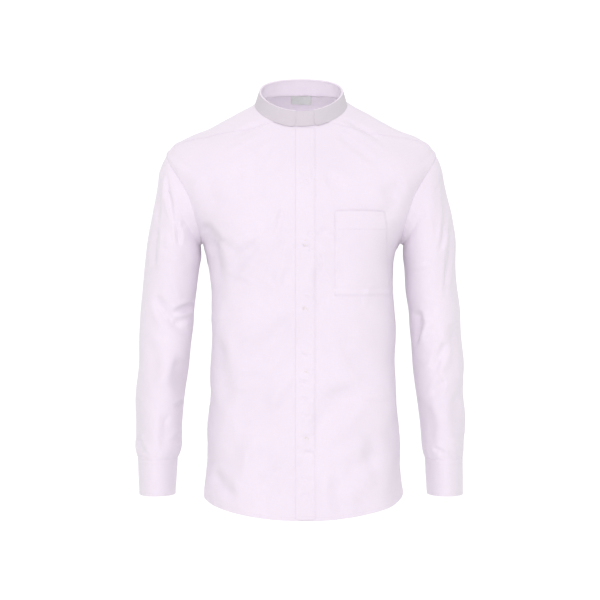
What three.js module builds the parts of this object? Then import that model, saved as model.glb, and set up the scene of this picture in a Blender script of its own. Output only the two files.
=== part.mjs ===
// Clergy shirt with a tab collar and long sleeves, filled out as if worn, with nobody in it.
// Millimetres, +Z up, the front faces -Y and +X is the wearer's left.
// The origin is the middle of the neck, level with the points where collar and shoulders meet.

import * as THREE from 'three';

// Cloth and seams
const CLOTH = 1.2;
const SEAM_GAP = 0.3;
const CUFF_WALL = 2.4;
const TAB_WALL = 0.9;
// Room for the flat facets of curved pieces that lie on each other
const FACET_ROOM = 0.1;
const DEGREE = Math.PI / 180;

// The body is a stack of closed rings, from the neck seam down to below the hem.
// Each ring has its half width at the side, its depth in front and behind, and its height
// at the side, in front and behind. Squareness 2 is an ellipse, and 3 is nearly a box.
const RING_PITCH = 60;
const ARMPIT_Z = -256;
const SHOULDER_RINGS = [
  { halfWidth: 82, sideZ: -2, front: 58, frontZ: -46, back: 56, backZ: 20, squareness: 2.0, shift: 0 },
  { halfWidth: 121, sideZ: -26, front: 80, frontZ: -87, back: 83, backZ: -3, squareness: 2.1, shift: 0 },
  { halfWidth: 173, sideZ: -51, front: 99, frontZ: -121, back: 104, backZ: -40, squareness: 2.2, shift: 0 },
  { halfWidth: 219, sideZ: -69, front: 112, frontZ: -149, back: 118, backZ: -80, squareness: 2.3, shift: 0 },
  { halfWidth: 247, sideZ: -95, front: 120, frontZ: -174, back: 126, backZ: -120, squareness: 2.3, shift: 0 },
  { halfWidth: 225, sideZ: -175, front: 129, frontZ: -216, back: 131, backZ: -188, squareness: 2.3, shift: 0 },
  { halfWidth: 181, sideZ: -256, front: 133, frontZ: -256, back: 130, backZ: -256, squareness: 2.5, shift: 0 },
];
// Below the armpits the rings are level, and hang a little towards the wearer's left
const BODY_RINGS = [
  { halfWidth: 168, front: 131, back: 124, squareness: 2.7, shift: 1 },
  { halfWidth: 166, front: 128, back: 117, squareness: 2.8, shift: 2 },
  { halfWidth: 168.5, front: 126, back: 113, squareness: 2.8, shift: 2.5 },
  { halfWidth: 170, front: 125, back: 112, squareness: 2.8, shift: 3 },
  { halfWidth: 173.5, front: 126, back: 114, squareness: 2.8, shift: 3.5 },
  { halfWidth: 176.5, front: 128, back: 118, squareness: 2.7, shift: 4 },
  { halfWidth: 180, front: 130, back: 121, squareness: 2.6, shift: 4.5 },
  { halfWidth: 181, front: 132, back: 124, squareness: 2.6, shift: 4.5 },
  { halfWidth: 181, front: 133, back: 126, squareness: 2.6, shift: 4.5 },
];

// Seams on the body. An angle is 0 at the middle of the front and 90 at the wearer's left side.
const ARMPIT_RING = 6;
const ARMHOLE = { ring: 5, halfHeight: 1, halfAngle: 20 };
const YOKE_FRONT = { neckAngle: 46, armholeAngle: 87.5, bow: 3 };
const YOKE_BACK = { middleRing: 3.1, armholeAngle: 102.5 };
const HEM = { frontZ: -753, sideZ: -711, backZ: -766, roundness: 1.25 };
const FRONT_EDGE_X = 8;

// Front strip over the buttons
const STRIP = { left: -10.5, right: 25.5, topZ: -52, rise: 2.9, roundness: 3 };
const FRONT_BUTTONS = { count: 5, firstZ: -142, pitch: 117, radius: 5.5, thickness: 1.9 };

// Chest pocket, on the wearer's left
const POCKET = {
  innerX: 59.5, topOuterX: 150, bottomOuterX: 160, topZ: -202, bottomZ: -353, lift: 0.6, loose: 1.4,
};

// Collar: a stand on the neck seam, a fall folded over it, and a tab between them in front
const COLLAR_TOP = { halfWidth: 75, front: 58, back: 46, frontZ: -19.5, sideZ: 22, backZ: 48 };
const COLLAR = {
  lift: 1.0, height: 30, length: 430, gapMiddle: 6.5, gapHalf: 16.5, corner: 11, flare: 1.6, lowest: 0.02,
};
const TAB = { half: 34, top: 0.985, bottom: 0.01 };
const LABEL = { halfWidth: 18, topZ: 15.5, bottomZ: 1.9, wall: 0.6 };

// Sleeves: slanted rings round the shoulder, then level ones down to the cuff.
// The outer side differs a little between the wearer's right and left.
const SLEEVE_HEAD = [
  { outerX: 261, outerZ: -128, innerX: 187, innerZ: -261, front: 75, back: 77 },
  { outerX: 267.5, outerZ: -168, innerX: 186, innerZ: -267, front: 79, back: 80 },
  { outerX: 275, outerZ: -212, innerX: 185.5, innerZ: -274, front: 80, back: 80 },
  { outerX: 282, outerZ: -252, innerX: 185.5, innerZ: -284, front: 80, back: 79 },
];
const SLEEVE_TUBE = [
  { z: -300, innerX: 188, rightX: 288.5, leftX: 285, front: 78, back: 78 },
  { z: -340, innerX: 192.5, rightX: 293, leftX: 288, front: 73, back: 78 },
  { z: -379, innerX: 199, rightX: 296.5, leftX: 292, front: 70, back: 77 },
  { z: -416, innerX: 199.5, rightX: 297, leftX: 294, front: 71, back: 72 },
  { z: -471, innerX: 204, rightX: 299, leftX: 297.5, front: 75, back: 64 },
  { z: -526, innerX: 211, rightX: 302.5, leftX: 298, front: 77, back: 53 },
  { z: -581, innerX: 219, rightX: 304, leftX: 298, front: 77, back: 41 },
  { z: -622, innerX: 223, rightX: 302.5, leftX: 297, front: 75, back: 31 },
  { z: -650, innerX: 228.5, rightX: 299, leftX: 295, front: 71, back: 23 },
];
const CUFF = { height: 66, innerX: 232.5, rightX: 296, leftX: 295.5, front: 71, back: 18 };
const CUFF_LAP = { startAngle: 285, lapAngle: 34, rampAngle: 46, buttonPlace: 0.4 };
const CUFF_BUTTON = { radius: 5.5, thickness: 2.2 };
const SLEEVE_STRIP = { angle: 302, halfAngle: 13, length: 150, aboveCuff: 1 };
// How far the sleeve starts outside and below the edge of the body at the armhole seam
const SLEEVE_START = { out: 0.85, down: 0.25 };

// The largest folds. Each runs between two points seen from the front, x and z, and is a soft
// trough where its depth is positive and a ridge where it is negative.
// They fade out towards the sides, over a depth in mm on the body or a sine of the turn on a sleeve.
const FOLD_FADE = { body: 40, sleeve: 0.35 };
const BODY_FOLDS = [
  { face: 'front', x1: -181, z1: -206, x2: -142, z2: -274, width: 10, depth: 5 },
  { face: 'front', x1: -70, z1: -240, x2: -136, z2: -302, width: 13, depth: 3.5 },
  { face: 'front', x1: -28, z1: -78, x2: -72, z2: -112, width: 11, depth: 3 },
  { face: 'front', x1: 196, z1: -132, x2: 150, z2: -180, width: 10, depth: 4.5 },
  { face: 'front', x1: -60, z1: -380, x2: -140, z2: -450, width: 22, depth: -4 },
  { face: 'front', x1: 60, z1: -420, x2: 145, z2: -520, width: 22, depth: -4 },
  { face: 'front', x1: -120, z1: -560, x2: -150, z2: -690, width: 20, depth: 4 },
  { face: 'front', x1: 95, z1: -560, x2: 120, z2: -730, width: 24, depth: 4 },
  { face: 'back', x1: -178, z1: -215, x2: -120, z2: -320, width: 14, depth: 5 },
  { face: 'back', x1: 180, z1: -210, x2: 126, z2: -330, width: 14, depth: 5 },
  { face: 'back', x1: -70, z1: -330, x2: -85, z2: -700, width: 22, depth: 5 },
  { face: 'back', x1: 64, z1: -300, x2: 82, z2: -720, width: 24, depth: 5 },
  { face: 'back', x1: 0, z1: -400, x2: 6, z2: -740, width: 26, depth: -4 },
];
const RIGHT_SLEEVE_FOLDS = [
  { face: 'front', x1: -249, z1: -130, x2: -224, z2: -252, width: 10, depth: 5 },
  { face: 'front', x1: -266, z1: -170, x2: -275, z2: -305, width: 9, depth: 4.5 },
  { face: 'front', x1: -196, z1: -370, x2: -234, z2: -386, width: 9, depth: 7 },
  { face: 'front', x1: -276, z1: -344, x2: -208, z2: -432, width: 10, depth: 4 },
  { face: 'front', x1: -226, z1: -462, x2: -224, z2: -545, width: 14, depth: 5 },
  { face: 'back', x1: -280, z1: -352, x2: -212, z2: -380, width: 12, depth: 5 },
  { face: 'back', x1: -240, z1: -180, x2: -232, z2: -310, width: 13, depth: 5 },
  { face: 'back', x1: -250, z1: -440, x2: -262, z2: -560, width: 13, depth: 4 },
];
const LEFT_SLEEVE_FOLDS = [
  { face: 'front', x1: 265, z1: -138, x2: 247, z2: -280, width: 10, depth: 5 },
  { face: 'front', x1: 276, z1: -215, x2: 262, z2: -355, width: 9, depth: 4.5 },
  { face: 'front', x1: 222, z1: -378, x2: 211, z2: -450, width: 10, depth: 6 },
  { face: 'front', x1: 246, z1: -392, x2: 216, z2: -452, width: 8, depth: -3.5 },
  { face: 'front', x1: 268, z1: -434, x2: 240, z2: -494, width: 9, depth: 4 },
  { face: 'back', x1: 284, z1: -360, x2: 214, z2: -392, width: 12, depth: 5 },
  { face: 'back', x1: 236, z1: -190, x2: 244, z2: -320, width: 13, depth: 5 },
  { face: 'back', x1: 262, z1: -450, x2: 252, z2: -560, width: 13, depth: 4 },
];

const WHITE_CLOTH = { color: 0xf6f0f7, roughness: 0.85, metalness: 0 };
const WHITE_PLASTIC = { color: 0xf4f2ee, roughness: 0.35, metalness: 0 };
const LABEL_CLOTH = { color: 0xc9ccc4, roughness: 0.7, metalness: 0 };

const mix = (a, b, t) => a + (b - a) * t;
const clamp = (value, low, high) => Math.min(high, Math.max(low, value));
const smooth = (t) => clamp(t, 0, 1) ** 2 * (3 - 2 * clamp(t, 0, 1));

// A smooth curve through evenly spaced values, read at any place between them
function curveThrough(values, place) {
  const last = values.length - 1;
  const index = clamp(Math.floor(place), 0, last - 1);
  const t = place - index;
  const at = (i) => values[clamp(i, 0, last)];
  const slopeIn = (at(index + 1) - at(index - 1)) / 2;
  const slopeOut = (at(index + 2) - at(index)) / 2;
  const rise = at(index + 1) - at(index);
  const cubic = slopeIn + slopeOut - 2 * rise;
  const square = 3 * rise - 2 * slopeIn - slopeOut;
  return at(index) + t * (slopeIn + t * (square + t * cubic));
}

// How far folds push the cloth in, at a point seen from the front
function foldDepth(folds, point, face) {
  let depth = 0;
  for (const fold of folds) {
    if (fold.face !== face) continue;
    const alongX = fold.x2 - fold.x1;
    const alongZ = fold.z2 - fold.z1;
    const length = Math.hypot(alongX, alongZ);
    const along = ((point.x - fold.x1) * alongX + (point.z - fold.z1) * alongZ) / length ** 2;
    if (along <= 0 || along >= 1) continue;
    const across = ((point.x - fold.x1) * alongZ - (point.z - fold.z1) * alongX) / length;
    depth += fold.depth * Math.exp(-((across / fold.width) ** 2)) * Math.sin(Math.PI * along);
  }
  return depth;
}

// The outward normal of a surface, where u is an angle that runs across and v a ring that runs down
const ANGLE_STEP = 0.3;
const RING_STEP = 0.02;

function surfaceNormal(surface, u, v) {
  const across = surface(u + ANGLE_STEP, v).sub(surface(u - ANGLE_STEP, v));
  const down = surface(u, v + RING_STEP).sub(surface(u, v - RING_STEP));
  return down.cross(across).normalize();
}

const bodyRings = [
  ...SHOULDER_RINGS,
  ...BODY_RINGS.map((ring, index) => {
    const z = ARMPIT_Z - RING_PITCH * (index + 1);
    return { ...ring, sideZ: z, frontZ: z, backZ: z };
  }),
];
const ringColumn = {};
for (const name of Object.keys(bodyRings[0])) ringColumn[name] = bodyRings.map((ring) => ring[name]);
const ringValue = (name, ring) => curveThrough(ringColumn[name], ring);

// The smooth body: each ring is a rounded box in plan, and dips towards the front
function smoothBody(angle, ring) {
  const sine = Math.sin(angle * DEGREE);
  const cosine = Math.cos(angle * DEGREE);
  const depth = ringValue(cosine > 0 ? 'front' : 'back', ring);
  const power = ringValue('squareness', ring);
  const sum = (Math.abs(sine) / ringValue('halfWidth', ring)) ** power + (Math.abs(cosine) / depth) ** power;
  const radius = sum ** (-1 / power);
  const forward = (radius * cosine) / depth;
  const sideZ = ringValue('sideZ', ring);
  const frontZ = ringValue('frontZ', ring);
  const backZ = ringValue('backZ', ring);
  const z = sideZ + ((frontZ - backZ) / 2) * forward + ((frontZ + backZ) / 2 - sideZ) * forward ** 2;
  return new THREE.Vector3(radius * sine + ringValue('shift', ring), -radius * cosine, z);
}

// The body with its folds pressed in
function body(angle, ring) {
  const point = smoothBody(angle, ring);
  const face = point.y < 0 ? 'front' : 'back';
  const depth = foldDepth(BODY_FOLDS, point, face) * smooth(Math.abs(point.y) / FOLD_FADE.body);
  if (depth === 0) return point;
  return point.addScaledVector(surfaceNormal(smoothBody, angle, ring), -depth);
}

const bodyNormal = (angle, ring) => surfaceNormal(body, angle, ring);
const raisedBody = (angle, ring, height) => body(angle, ring).addScaledVector(bodyNormal(angle, ring), height);

// A value between low and high where a rising function reaches its target
function solve(rising, target, low, high) {
  for (let step = 0; step < 40; step += 1) {
    const middle = (low + high) / 2;
    if (rising(middle) < target) low = middle;
    else high = middle;
  }
  return (low + high) / 2;
}

const ringAtHeight = (angle, z) => solve((ring) => -smoothBody(angle, ring).z, -z, 0, bodyRings.length - 1);

// The angle and ring of a point of the front, or of the back, from its x and z
function onBody(x, z, face = 'front') {
  const turned = (angle) => (face === 'front' ? angle : 180 - angle);
  let angle = 0;
  let ring = ARMPIT_RING;
  for (let round = 0; round < 6; round += 1) {
    ring = ringAtHeight(turned(angle), z);
    angle = solve((value) => smoothBody(turned(value), ring).x, x, -89.9, 89.9);
  }
  return [turned(angle), ring];
}

// Builds a closed mesh from rows of outer and inner points
function closedWall(outer, inner, wraps) {
  const rows = outer.length;
  const columns = outer[0].length;
  const points = [...outer.flat(), ...inner.flat()];
  const innerStart = rows * columns;
  const at = (row, column) => row * columns + (column % columns);
  const faces = [];
  const quad = (a, b, c, d) => faces.push(a, b, c, a, c, d);
  const spans = wraps ? columns : columns - 1;
  for (let row = 0; row < rows - 1; row += 1) {
    for (let column = 0; column < spans; column += 1) {
      const a = at(row, column);
      const b = at(row, column + 1);
      const c = at(row + 1, column + 1);
      const d = at(row + 1, column);
      quad(a, d, c, b);
      quad(innerStart + a, innerStart + b, innerStart + c, innerStart + d);
    }
  }
  for (let column = 0; column < spans; column += 1) {
    const a = at(0, column);
    const b = at(0, column + 1);
    const c = at(rows - 1, column);
    const d = at(rows - 1, column + 1);
    quad(a, b, innerStart + b, innerStart + a);
    quad(d, c, innerStart + c, innerStart + d);
  }
  if (!wraps) {
    for (let row = 0; row < rows - 1; row += 1) {
      const a = at(row, 0);
      const b = at(row + 1, 0);
      const c = at(row, columns - 1);
      const d = at(row + 1, columns - 1);
      quad(b, a, innerStart + a, innerStart + b);
      quad(c, d, innerStart + d, innerStart + c);
    }
  }
  return solidGeometry(points, faces);
}

// A geometry whose faces point out, whichever way round its points were given
function solidGeometry(points, faces) {
  let volume = 0;
  const cross = new THREE.Vector3();
  for (let index = 0; index < faces.length; index += 3) {
    cross.crossVectors(points[faces[index + 1]], points[faces[index + 2]]);
    volume += points[faces[index]].dot(cross);
  }
  const geometry = new THREE.BufferGeometry();
  geometry.setAttribute('position', new THREE.Float32BufferAttribute(points.flatMap((p) => p.toArray()), 3));
  geometry.setIndex(volume > 0 ? faces : faces.toReversed());
  geometry.computeVertexNormals();
  return geometry;
}

const shirt = new THREE.Group();

function addPiece(name, geometry, look = WHITE_CLOTH) {
  const mesh = new THREE.Mesh(geometry, new THREE.MeshStandardMaterial(look));
  mesh.name = name;
  shirt.add(mesh);
  return mesh;
}

// A panel of the body between four edges, each a function from 0 to 1 that gives an angle and a ring.
// Its own edges are drawn in by half a seam gap.
function bodyPanel({ left, right, top, bottom, acrossStops, downStops, wall = CLOTH, height = () => 0 }) {
  const blend = (across, down) => [0, 1].map((axis) => {
    const sides = mix(left(down)[axis], right(down)[axis], across);
    const ends = mix(top(across)[axis], bottom(across)[axis], down);
    const upper = mix(top(0)[axis], top(1)[axis], across);
    const lower = mix(bottom(0)[axis], bottom(1)[axis], across);
    return sides + ends - mix(upper, lower, down);
  });
  const places = downStops.map((down) => acrossStops.map((across) => blend(across, down)));
  const middle = places.map((row, j) => row.map(([angle, ring], i) => {
    return raisedBody(angle, ring, height(acrossStops[i], downStops[j]));
  }));
  drawInEdges(middle);
  const layer = (offset) => middle.map((row, j) => row.map((point, i) => {
    return point.clone().addScaledVector(bodyNormal(...places[j][i]), offset);
  }));
  return closedWall(layer(wall / 2), layer(-wall / 2), false);
}

// Moves the edge points of a grid half a seam gap towards their inner neighbours
function drawInEdges(grid, gap = SEAM_GAP / 2 + 0.05) {
  const rows = grid.length;
  const columns = grid[0].length;
  const old = grid.map((row) => row.map((point) => point.clone()));
  const pull = (row, column, towards) => {
    const step = towards.clone().sub(old[row][column]).setLength(gap);
    grid[row][column].add(step);
  };
  for (let row = 0; row < rows; row += 1) {
    pull(row, 0, old[row][1]);
    pull(row, columns - 1, old[row][columns - 2]);
  }
  for (let column = 0; column < columns; column += 1) {
    pull(0, column, old[1][column]);
    pull(rows - 1, column, old[rows - 2][column]);
  }
}

const evenStops = (count) => Array.from({ length: count + 1 }, (_, index) => index / count);

// Stops along an edge that has a corner in it, so that the corner falls on a stop
function cornerEdge(first, second, corner) {
  return (t) => (t <= corner ? first(t / corner) : second((t - corner) / (1 - corner)));
}

// Seam lines, all for the wearer's left where side is 1, and for the right where it is -1
const armholePoint = (turn, side) => [
  side * (90 - ARMHOLE.halfAngle * Math.sin(turn)),
  ARMHOLE.ring - ARMHOLE.halfHeight * Math.cos(turn),
];
const frontTurn = Math.asin((90 - YOKE_FRONT.armholeAngle) / ARMHOLE.halfAngle);
const backTurn = -Math.asin((YOKE_BACK.armholeAngle - 90) / ARMHOLE.halfAngle);
const yokeFrontRing = armholePoint(frontTurn, 1)[1];

function yokeFrontSeam(t, side) {
  const angle = mix(YOKE_FRONT.armholeAngle, YOKE_FRONT.neckAngle, (1 - t) ** YOKE_FRONT.bow);
  return [side * angle, yokeFrontRing * t];
}

function yokeBackSeam(t) {
  const [armholeAngle, armholeRing] = armholePoint(backTurn, 1);
  const angle = mix(armholeAngle, 360 - armholeAngle, t);
  const away = Math.abs(2 * t - 1) ** 2;
  return [angle, mix(YOKE_BACK.middleRing, armholeRing, away)];
}

function hemRing(angle) {
  const forward = Math.cos(angle * DEGREE);
  const low = forward > 0 ? HEM.frontZ : HEM.backZ;
  const drop = 1 - (1 - Math.abs(forward)) ** HEM.roundness;
  return ARMPIT_RING + (ARMPIT_Z - mix(HEM.sideZ, low, drop)) / RING_PITCH;
}

// The angle near the middle of the front where a ring passes through x
const frontEdgeAngle = (ring, x) => solve((value) => smoothBody(value, ring).x, x, -60, 60);
const HEM_RING = ARMPIT_RING + 8;

// Panels that share a seam have the same stops along it
const ACROSS_FRONT = 10;
const ACROSS_BACK = 24;
const BELOW_ARMPIT = 14;
const ARMHOLE_STOPS = { front: 12, yoke: 5, back: 8 };
const NECK_STOPS = 3;

// Fronts: the inner edge runs up the middle and round the neck, and the outer edge runs up
// the side and round the armhole

function frontPanel(side) {
  const rows = ARMHOLE_STOPS.front + BELOW_ARMPIT;
  const armpitStop = ARMHOLE_STOPS.front / rows;
  const middlePoint = (ring) => [frontEdgeAngle(ring, FRONT_EDGE_X), ring];
  const neckMiddle = middlePoint(0)[0];
  const middleHem = hemRing(frontEdgeAngle(HEM_RING, FRONT_EDGE_X));
  const neckline = (t) => [mix(side * YOKE_FRONT.neckAngle, neckMiddle, t), 0];
  const frontEdge = (t) => middlePoint(t * ARMPIT_RING);
  const lowerEdge = (t) => middlePoint(mix(ARMPIT_RING, middleHem, t));
  const upperSide = (t) => armholePoint(mix(frontTurn, Math.PI, t), side);
  const lowerSide = (t) => [side * 90, mix(ARMPIT_RING, hemRing(90), t)];
  const neckAndEdge = cornerEdge(neckline, frontEdge, NECK_STOPS / ARMHOLE_STOPS.front);
  return bodyPanel({
    left: cornerEdge(neckAndEdge, lowerEdge, armpitStop),
    right: cornerEdge(upperSide, lowerSide, armpitStop),
    top: (t) => yokeFrontSeam(t, side),
    bottom: (t) => {
      const angle = mix(lowerEdge(1)[0], side * 90, t);
      return [angle, hemRing(angle)];
    },
    acrossStops: evenStops(ACROSS_FRONT),
    downStops: evenStops(rows),
  });
}

// Back: from side to side, with the yoke seam on top
function backPanel() {
  const rows = ARMHOLE_STOPS.back + BELOW_ARMPIT;
  const sideEdge = (onRight) => {
    const turned = ([angle, ring]) => [onRight ? 360 - angle : angle, ring];
    const armhole = (t) => turned(armholePoint(mix(backTurn, -Math.PI, t), 1));
    const seam = (t) => turned([90, mix(ARMPIT_RING, hemRing(90), t)]);
    return cornerEdge(armhole, seam, ARMHOLE_STOPS.back / rows);
  };
  return bodyPanel({
    left: sideEdge(false),
    right: sideEdge(true),
    top: yokeBackSeam,
    bottom: (t) => [mix(90, 270, t), hemRing(mix(90, 270, t))],
    acrossStops: evenStops(ACROSS_BACK),
    downStops: evenStops(rows),
  });
}

// Yoke: from one front seam over both shoulders to the other, with the neck inside it
function yokePanel() {
  const armhole = ARMHOLE_STOPS.yoke;
  const columns = 2 * armhole + ACROSS_BACK;
  const turned = ([angle, ring]) => [360 - angle, ring];
  const leftArmhole = (t) => armholePoint(mix(frontTurn, backTurn, t), 1);
  const rightArmhole = (t) => turned(leftArmhole(1 - t));
  const leftAndBack = cornerEdge(leftArmhole, yokeBackSeam, armhole / (armhole + ACROSS_BACK));
  return bodyPanel({
    left: (t) => yokeFrontSeam(t, 1),
    right: (t) => turned(yokeFrontSeam(t, 1)),
    top: (t) => [mix(YOKE_FRONT.neckAngle, 360 - YOKE_FRONT.neckAngle, t), 0],
    bottom: cornerEdge(leftAndBack, rightArmhole, (armhole + ACROSS_BACK) / columns),
    acrossStops: evenStops(columns),
    downStops: evenStops(ACROSS_FRONT),
  });
}

addPiece('front_left', frontPanel(1));
addPiece('front_right', frontPanel(-1));
addPiece('back', backPanel());
addPiece('yoke', yokePanel());

// A patch that lies on the front or inside the back, between straight edges seen from the front
function bodyPatch({ face, leftX, rightX, topZ, bottomZ, across, down, wall, height }) {
  const stopsX = evenStops(across);
  const stopsZ = evenStops(down);
  const places = stopsZ.map((v) => {
    const [leftAngle] = onBody(leftX(v), mix(topZ, bottomZ(0), v), face);
    const [rightAngle] = onBody(rightX(v), mix(topZ, bottomZ(1), v), face);
    return stopsX.map((u) => {
      const angle = mix(leftAngle, rightAngle, u);
      return [angle, ringAtHeight(angle, mix(topZ, bottomZ(u), v))];
    });
  });
  const layer = (offset) => places.map((row, j) => row.map(([angle, ring], i) => {
    return raisedBody(angle, ring, height(stopsX[i], stopsZ[j]) + offset);
  }));
  return closedWall(layer(wall / 2), layer(-wall / 2), false);
}

const hemZ = (x) => ARMPIT_Z - RING_PITCH * (hemRing(frontEdgeAngle(HEM_RING, x)) - ARMPIT_RING);

// The strip down the front swells over the buttons between its flat edges
const liesOn = CLOTH + SEAM_GAP + FACET_ROOM;
addPiece('front_strip', bodyPatch({
  face: 'front',
  leftX: () => STRIP.left,
  rightX: () => STRIP.right,
  topZ: STRIP.topZ,
  bottomZ: (u) => hemZ(mix(STRIP.left, STRIP.right, u)),
  across: 6,
  down: 32,
  wall: CLOTH,
  height: (u) => liesOn + STRIP.rise * (1 - Math.abs(2 * u - 1) ** STRIP.roundness),
}));

addPiece('chest_pocket', bodyPatch({
  face: 'front',
  leftX: () => POCKET.innerX,
  rightX: (v) => mix(POCKET.topOuterX, POCKET.bottomOuterX, v),
  topZ: POCKET.topZ,
  bottomZ: () => POCKET.bottomZ,
  across: 9,
  down: 8,
  wall: CLOTH,
  height: (u, v) => liesOn + POCKET.lift + POCKET.loose * Math.sin(Math.PI * u) * (1 - v) ** 2,
}));

addPiece('neck_label', bodyPatch({
  face: 'back',
  leftX: () => -LABEL.halfWidth,
  rightX: () => LABEL.halfWidth,
  topZ: LABEL.topZ,
  bottomZ: () => LABEL.bottomZ,
  across: 6,
  down: 3,
  wall: LABEL.wall,
  height: () => -(CLOTH / 2 + SEAM_GAP + FACET_ROOM + LABEL.wall / 2),
}), LABEL_CLOTH);

// Round flat buttons, their faces square to the cloth beneath
function addButton(name, centre, normal, { radius, thickness }) {
  const mesh = addPiece(name, new THREE.CylinderGeometry(radius, radius, thickness, 20), WHITE_PLASTIC);
  mesh.position.copy(centre);
  mesh.quaternion.setFromUnitVectors(new THREE.Vector3(0, 1, 0), normal);
}

for (let index = 0; index < FRONT_BUTTONS.count; index += 1) {
  const place = onBody((STRIP.left + STRIP.right) / 2, FRONT_BUTTONS.firstZ - index * FRONT_BUTTONS.pitch);
  const height = CLOTH / 2 + SEAM_GAP + FACET_ROOM + FRONT_BUTTONS.thickness / 2;
  addButton(`front_button_${index + 1}`, raisedBody(...place, height), bodyNormal(...place), FRONT_BUTTONS);
}

// Collar rings are read at an angle round the neck, 0 in front
function collarTop(angle) {
  const sine = Math.sin(angle * DEGREE);
  const cosine = Math.cos(angle * DEGREE);
  const depth = cosine > 0 ? COLLAR_TOP.front : COLLAR_TOP.back;
  const radius = 1 / Math.hypot(sine / COLLAR_TOP.halfWidth, cosine / depth);
  const forward = (radius * cosine) / depth;
  const tilt = (COLLAR_TOP.frontZ - COLLAR_TOP.backZ) / 2;
  const dip = (COLLAR_TOP.frontZ + COLLAR_TOP.backZ) / 2 - COLLAR_TOP.sideZ;
  const z = COLLAR_TOP.sideZ + tilt * forward + dip * forward ** 2;
  return new THREE.Vector3(radius * sine, -radius * cosine, z);
}

const neckSeam = (angle) => smoothBody(angle, 0).add(new THREE.Vector3(0, 0, COLLAR.lift));

function collarOutward(angle) {
  const along = neckSeam(angle + 0.5).sub(neckSeam(angle - 0.5));
  return new THREE.Vector3(-along.y, along.x, 0).normalize().negate();
}

// A point of the collar: height 0 is the neck seam and 1 the top edge, and out is the distance
// outside the middle of the stand
function collarPoint(angle, height, out, lift = 0) {
  const point = neckSeam(angle).lerp(collarTop(angle), height);
  point.addScaledVector(collarOutward(angle), out);
  point.z += lift;
  return point;
}

const angleAtNeck = (x) => solve((value) => neckSeam(value).x, x, -80, 80);

// The stand meets itself in the middle of the front, behind the tab
const standStart = angleAtNeck(FRONT_EDGE_X + SEAM_GAP / 2);
const standEnd = angleAtNeck(FRONT_EDGE_X - SEAM_GAP / 2) + 360;
const COLLAR_STATIONS = 32;
const standLayer = (out) => evenStops(2).map((down) => evenStops(COLLAR_STATIONS).map((t) => {
  return collarPoint(mix(standStart, standEnd, t), 1 - down, out);
}));
addPiece('collar_stand', closedWall(standLayer(CLOTH / 2), standLayer(-CLOTH / 2), false));

// The tab slips in between the stand and the fall
const tabMiddle = CLOTH / 2 + SEAM_GAP + TAB_WALL / 2;
const tabStart = angleAtNeck(COLLAR.gapMiddle - TAB.half);
const tabEnd = angleAtNeck(COLLAR.gapMiddle + TAB.half);
const tabLayer = (out) => evenStops(2).map((down) => evenStops(12).map((t) => {
  return collarPoint(mix(tabStart, tabEnd, t), mix(TAB.top, TAB.bottom, down), tabMiddle + out);
}));
addPiece('collar_tab', closedWall(tabLayer(TAB_WALL / 2), tabLayer(-TAB_WALL / 2), false));

// The fall folds over the top of the stand and hangs outside it, with its front corners rounded
const fallMiddle = CLOTH / 2 + SEAM_GAP + TAB_WALL + SEAM_GAP + CLOTH / 2;
const foldRadius = (fallMiddle + CLOTH / 2) / 2;
const foldMiddle = fallMiddle - foldRadius;
const FOLD_STEPS = 4;

function fallSection(angle, lowest) {
  const outer = [];
  const inner = [];
  for (const height of evenStops(2)) {
    const hang = mix(lowest, 1, height);
    const flare = COLLAR.flare * (1 - hang) ** 2;
    outer.push(collarPoint(angle, hang, fallMiddle + flare + CLOTH / 2));
    inner.push(collarPoint(angle, hang, fallMiddle + flare - CLOTH / 2));
  }
  for (let step = 1; step <= FOLD_STEPS; step += 1) {
    const turn = (Math.PI * step) / FOLD_STEPS;
    const bend = (radius) => collarPoint(
      angle,
      1,
      foldMiddle + radius * Math.cos(turn),
      SEAM_GAP + radius * Math.sin(turn),
    );
    outer.push(bend(foldRadius + CLOTH / 2));
    inner.push(bend(foldRadius - CLOTH / 2));
  }
  return [outer, inner];
}

const fallStart = angleAtNeck(COLLAR.gapMiddle + COLLAR.gapHalf);
const fallEnd = angleAtNeck(COLLAR.gapMiddle - COLLAR.gapHalf) + 360;
const cornerStops = [0, 0.006, 0.014, 0.024, 0.035];
const cornerEnd = 0.045;
const fallStops = [
  ...cornerStops,
  ...evenStops(COLLAR_STATIONS).filter((t) => t > cornerEnd && t < 1 - cornerEnd),
  ...cornerStops.map((t) => 1 - t).reverse(),
];
const fallSections = fallStops.map((t) => {
  const fromEnd = Math.min(t, 1 - t) * COLLAR.length;
  const inCorner = clamp(1 - fromEnd / COLLAR.corner, 0, 1);
  const rounded = COLLAR.corner * (1 - Math.sqrt(1 - inCorner ** 2));
  const lowest = COLLAR.lowest + rounded / COLLAR.height;
  return fallSection(mix(fallStart, fallEnd, t), lowest);
});
const turnGrid = (grid) => grid[0].map((_, column) => grid.map((row) => row[column]));
addPiece('collar_fall', closedWall(
  turnGrid(fallSections.map(([outer]) => outer)),
  turnGrid(fallSections.map(([, inner]) => inner)),
  false,
));

// Sleeves. Turn is 0 on the outer side, 90 in front, 180 on the inner side and 270 behind.
const headRings = SLEEVE_HEAD.length;
const sleeveRows = (side) => [
  ...SLEEVE_HEAD,
  ...SLEEVE_TUBE.map((row) => {
    const outerX = side > 0 ? row.leftX : row.rightX;
    return { outerX, outerZ: row.z, innerX: row.innerX, innerZ: row.z, front: row.front, back: row.back };
  }),
];

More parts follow.
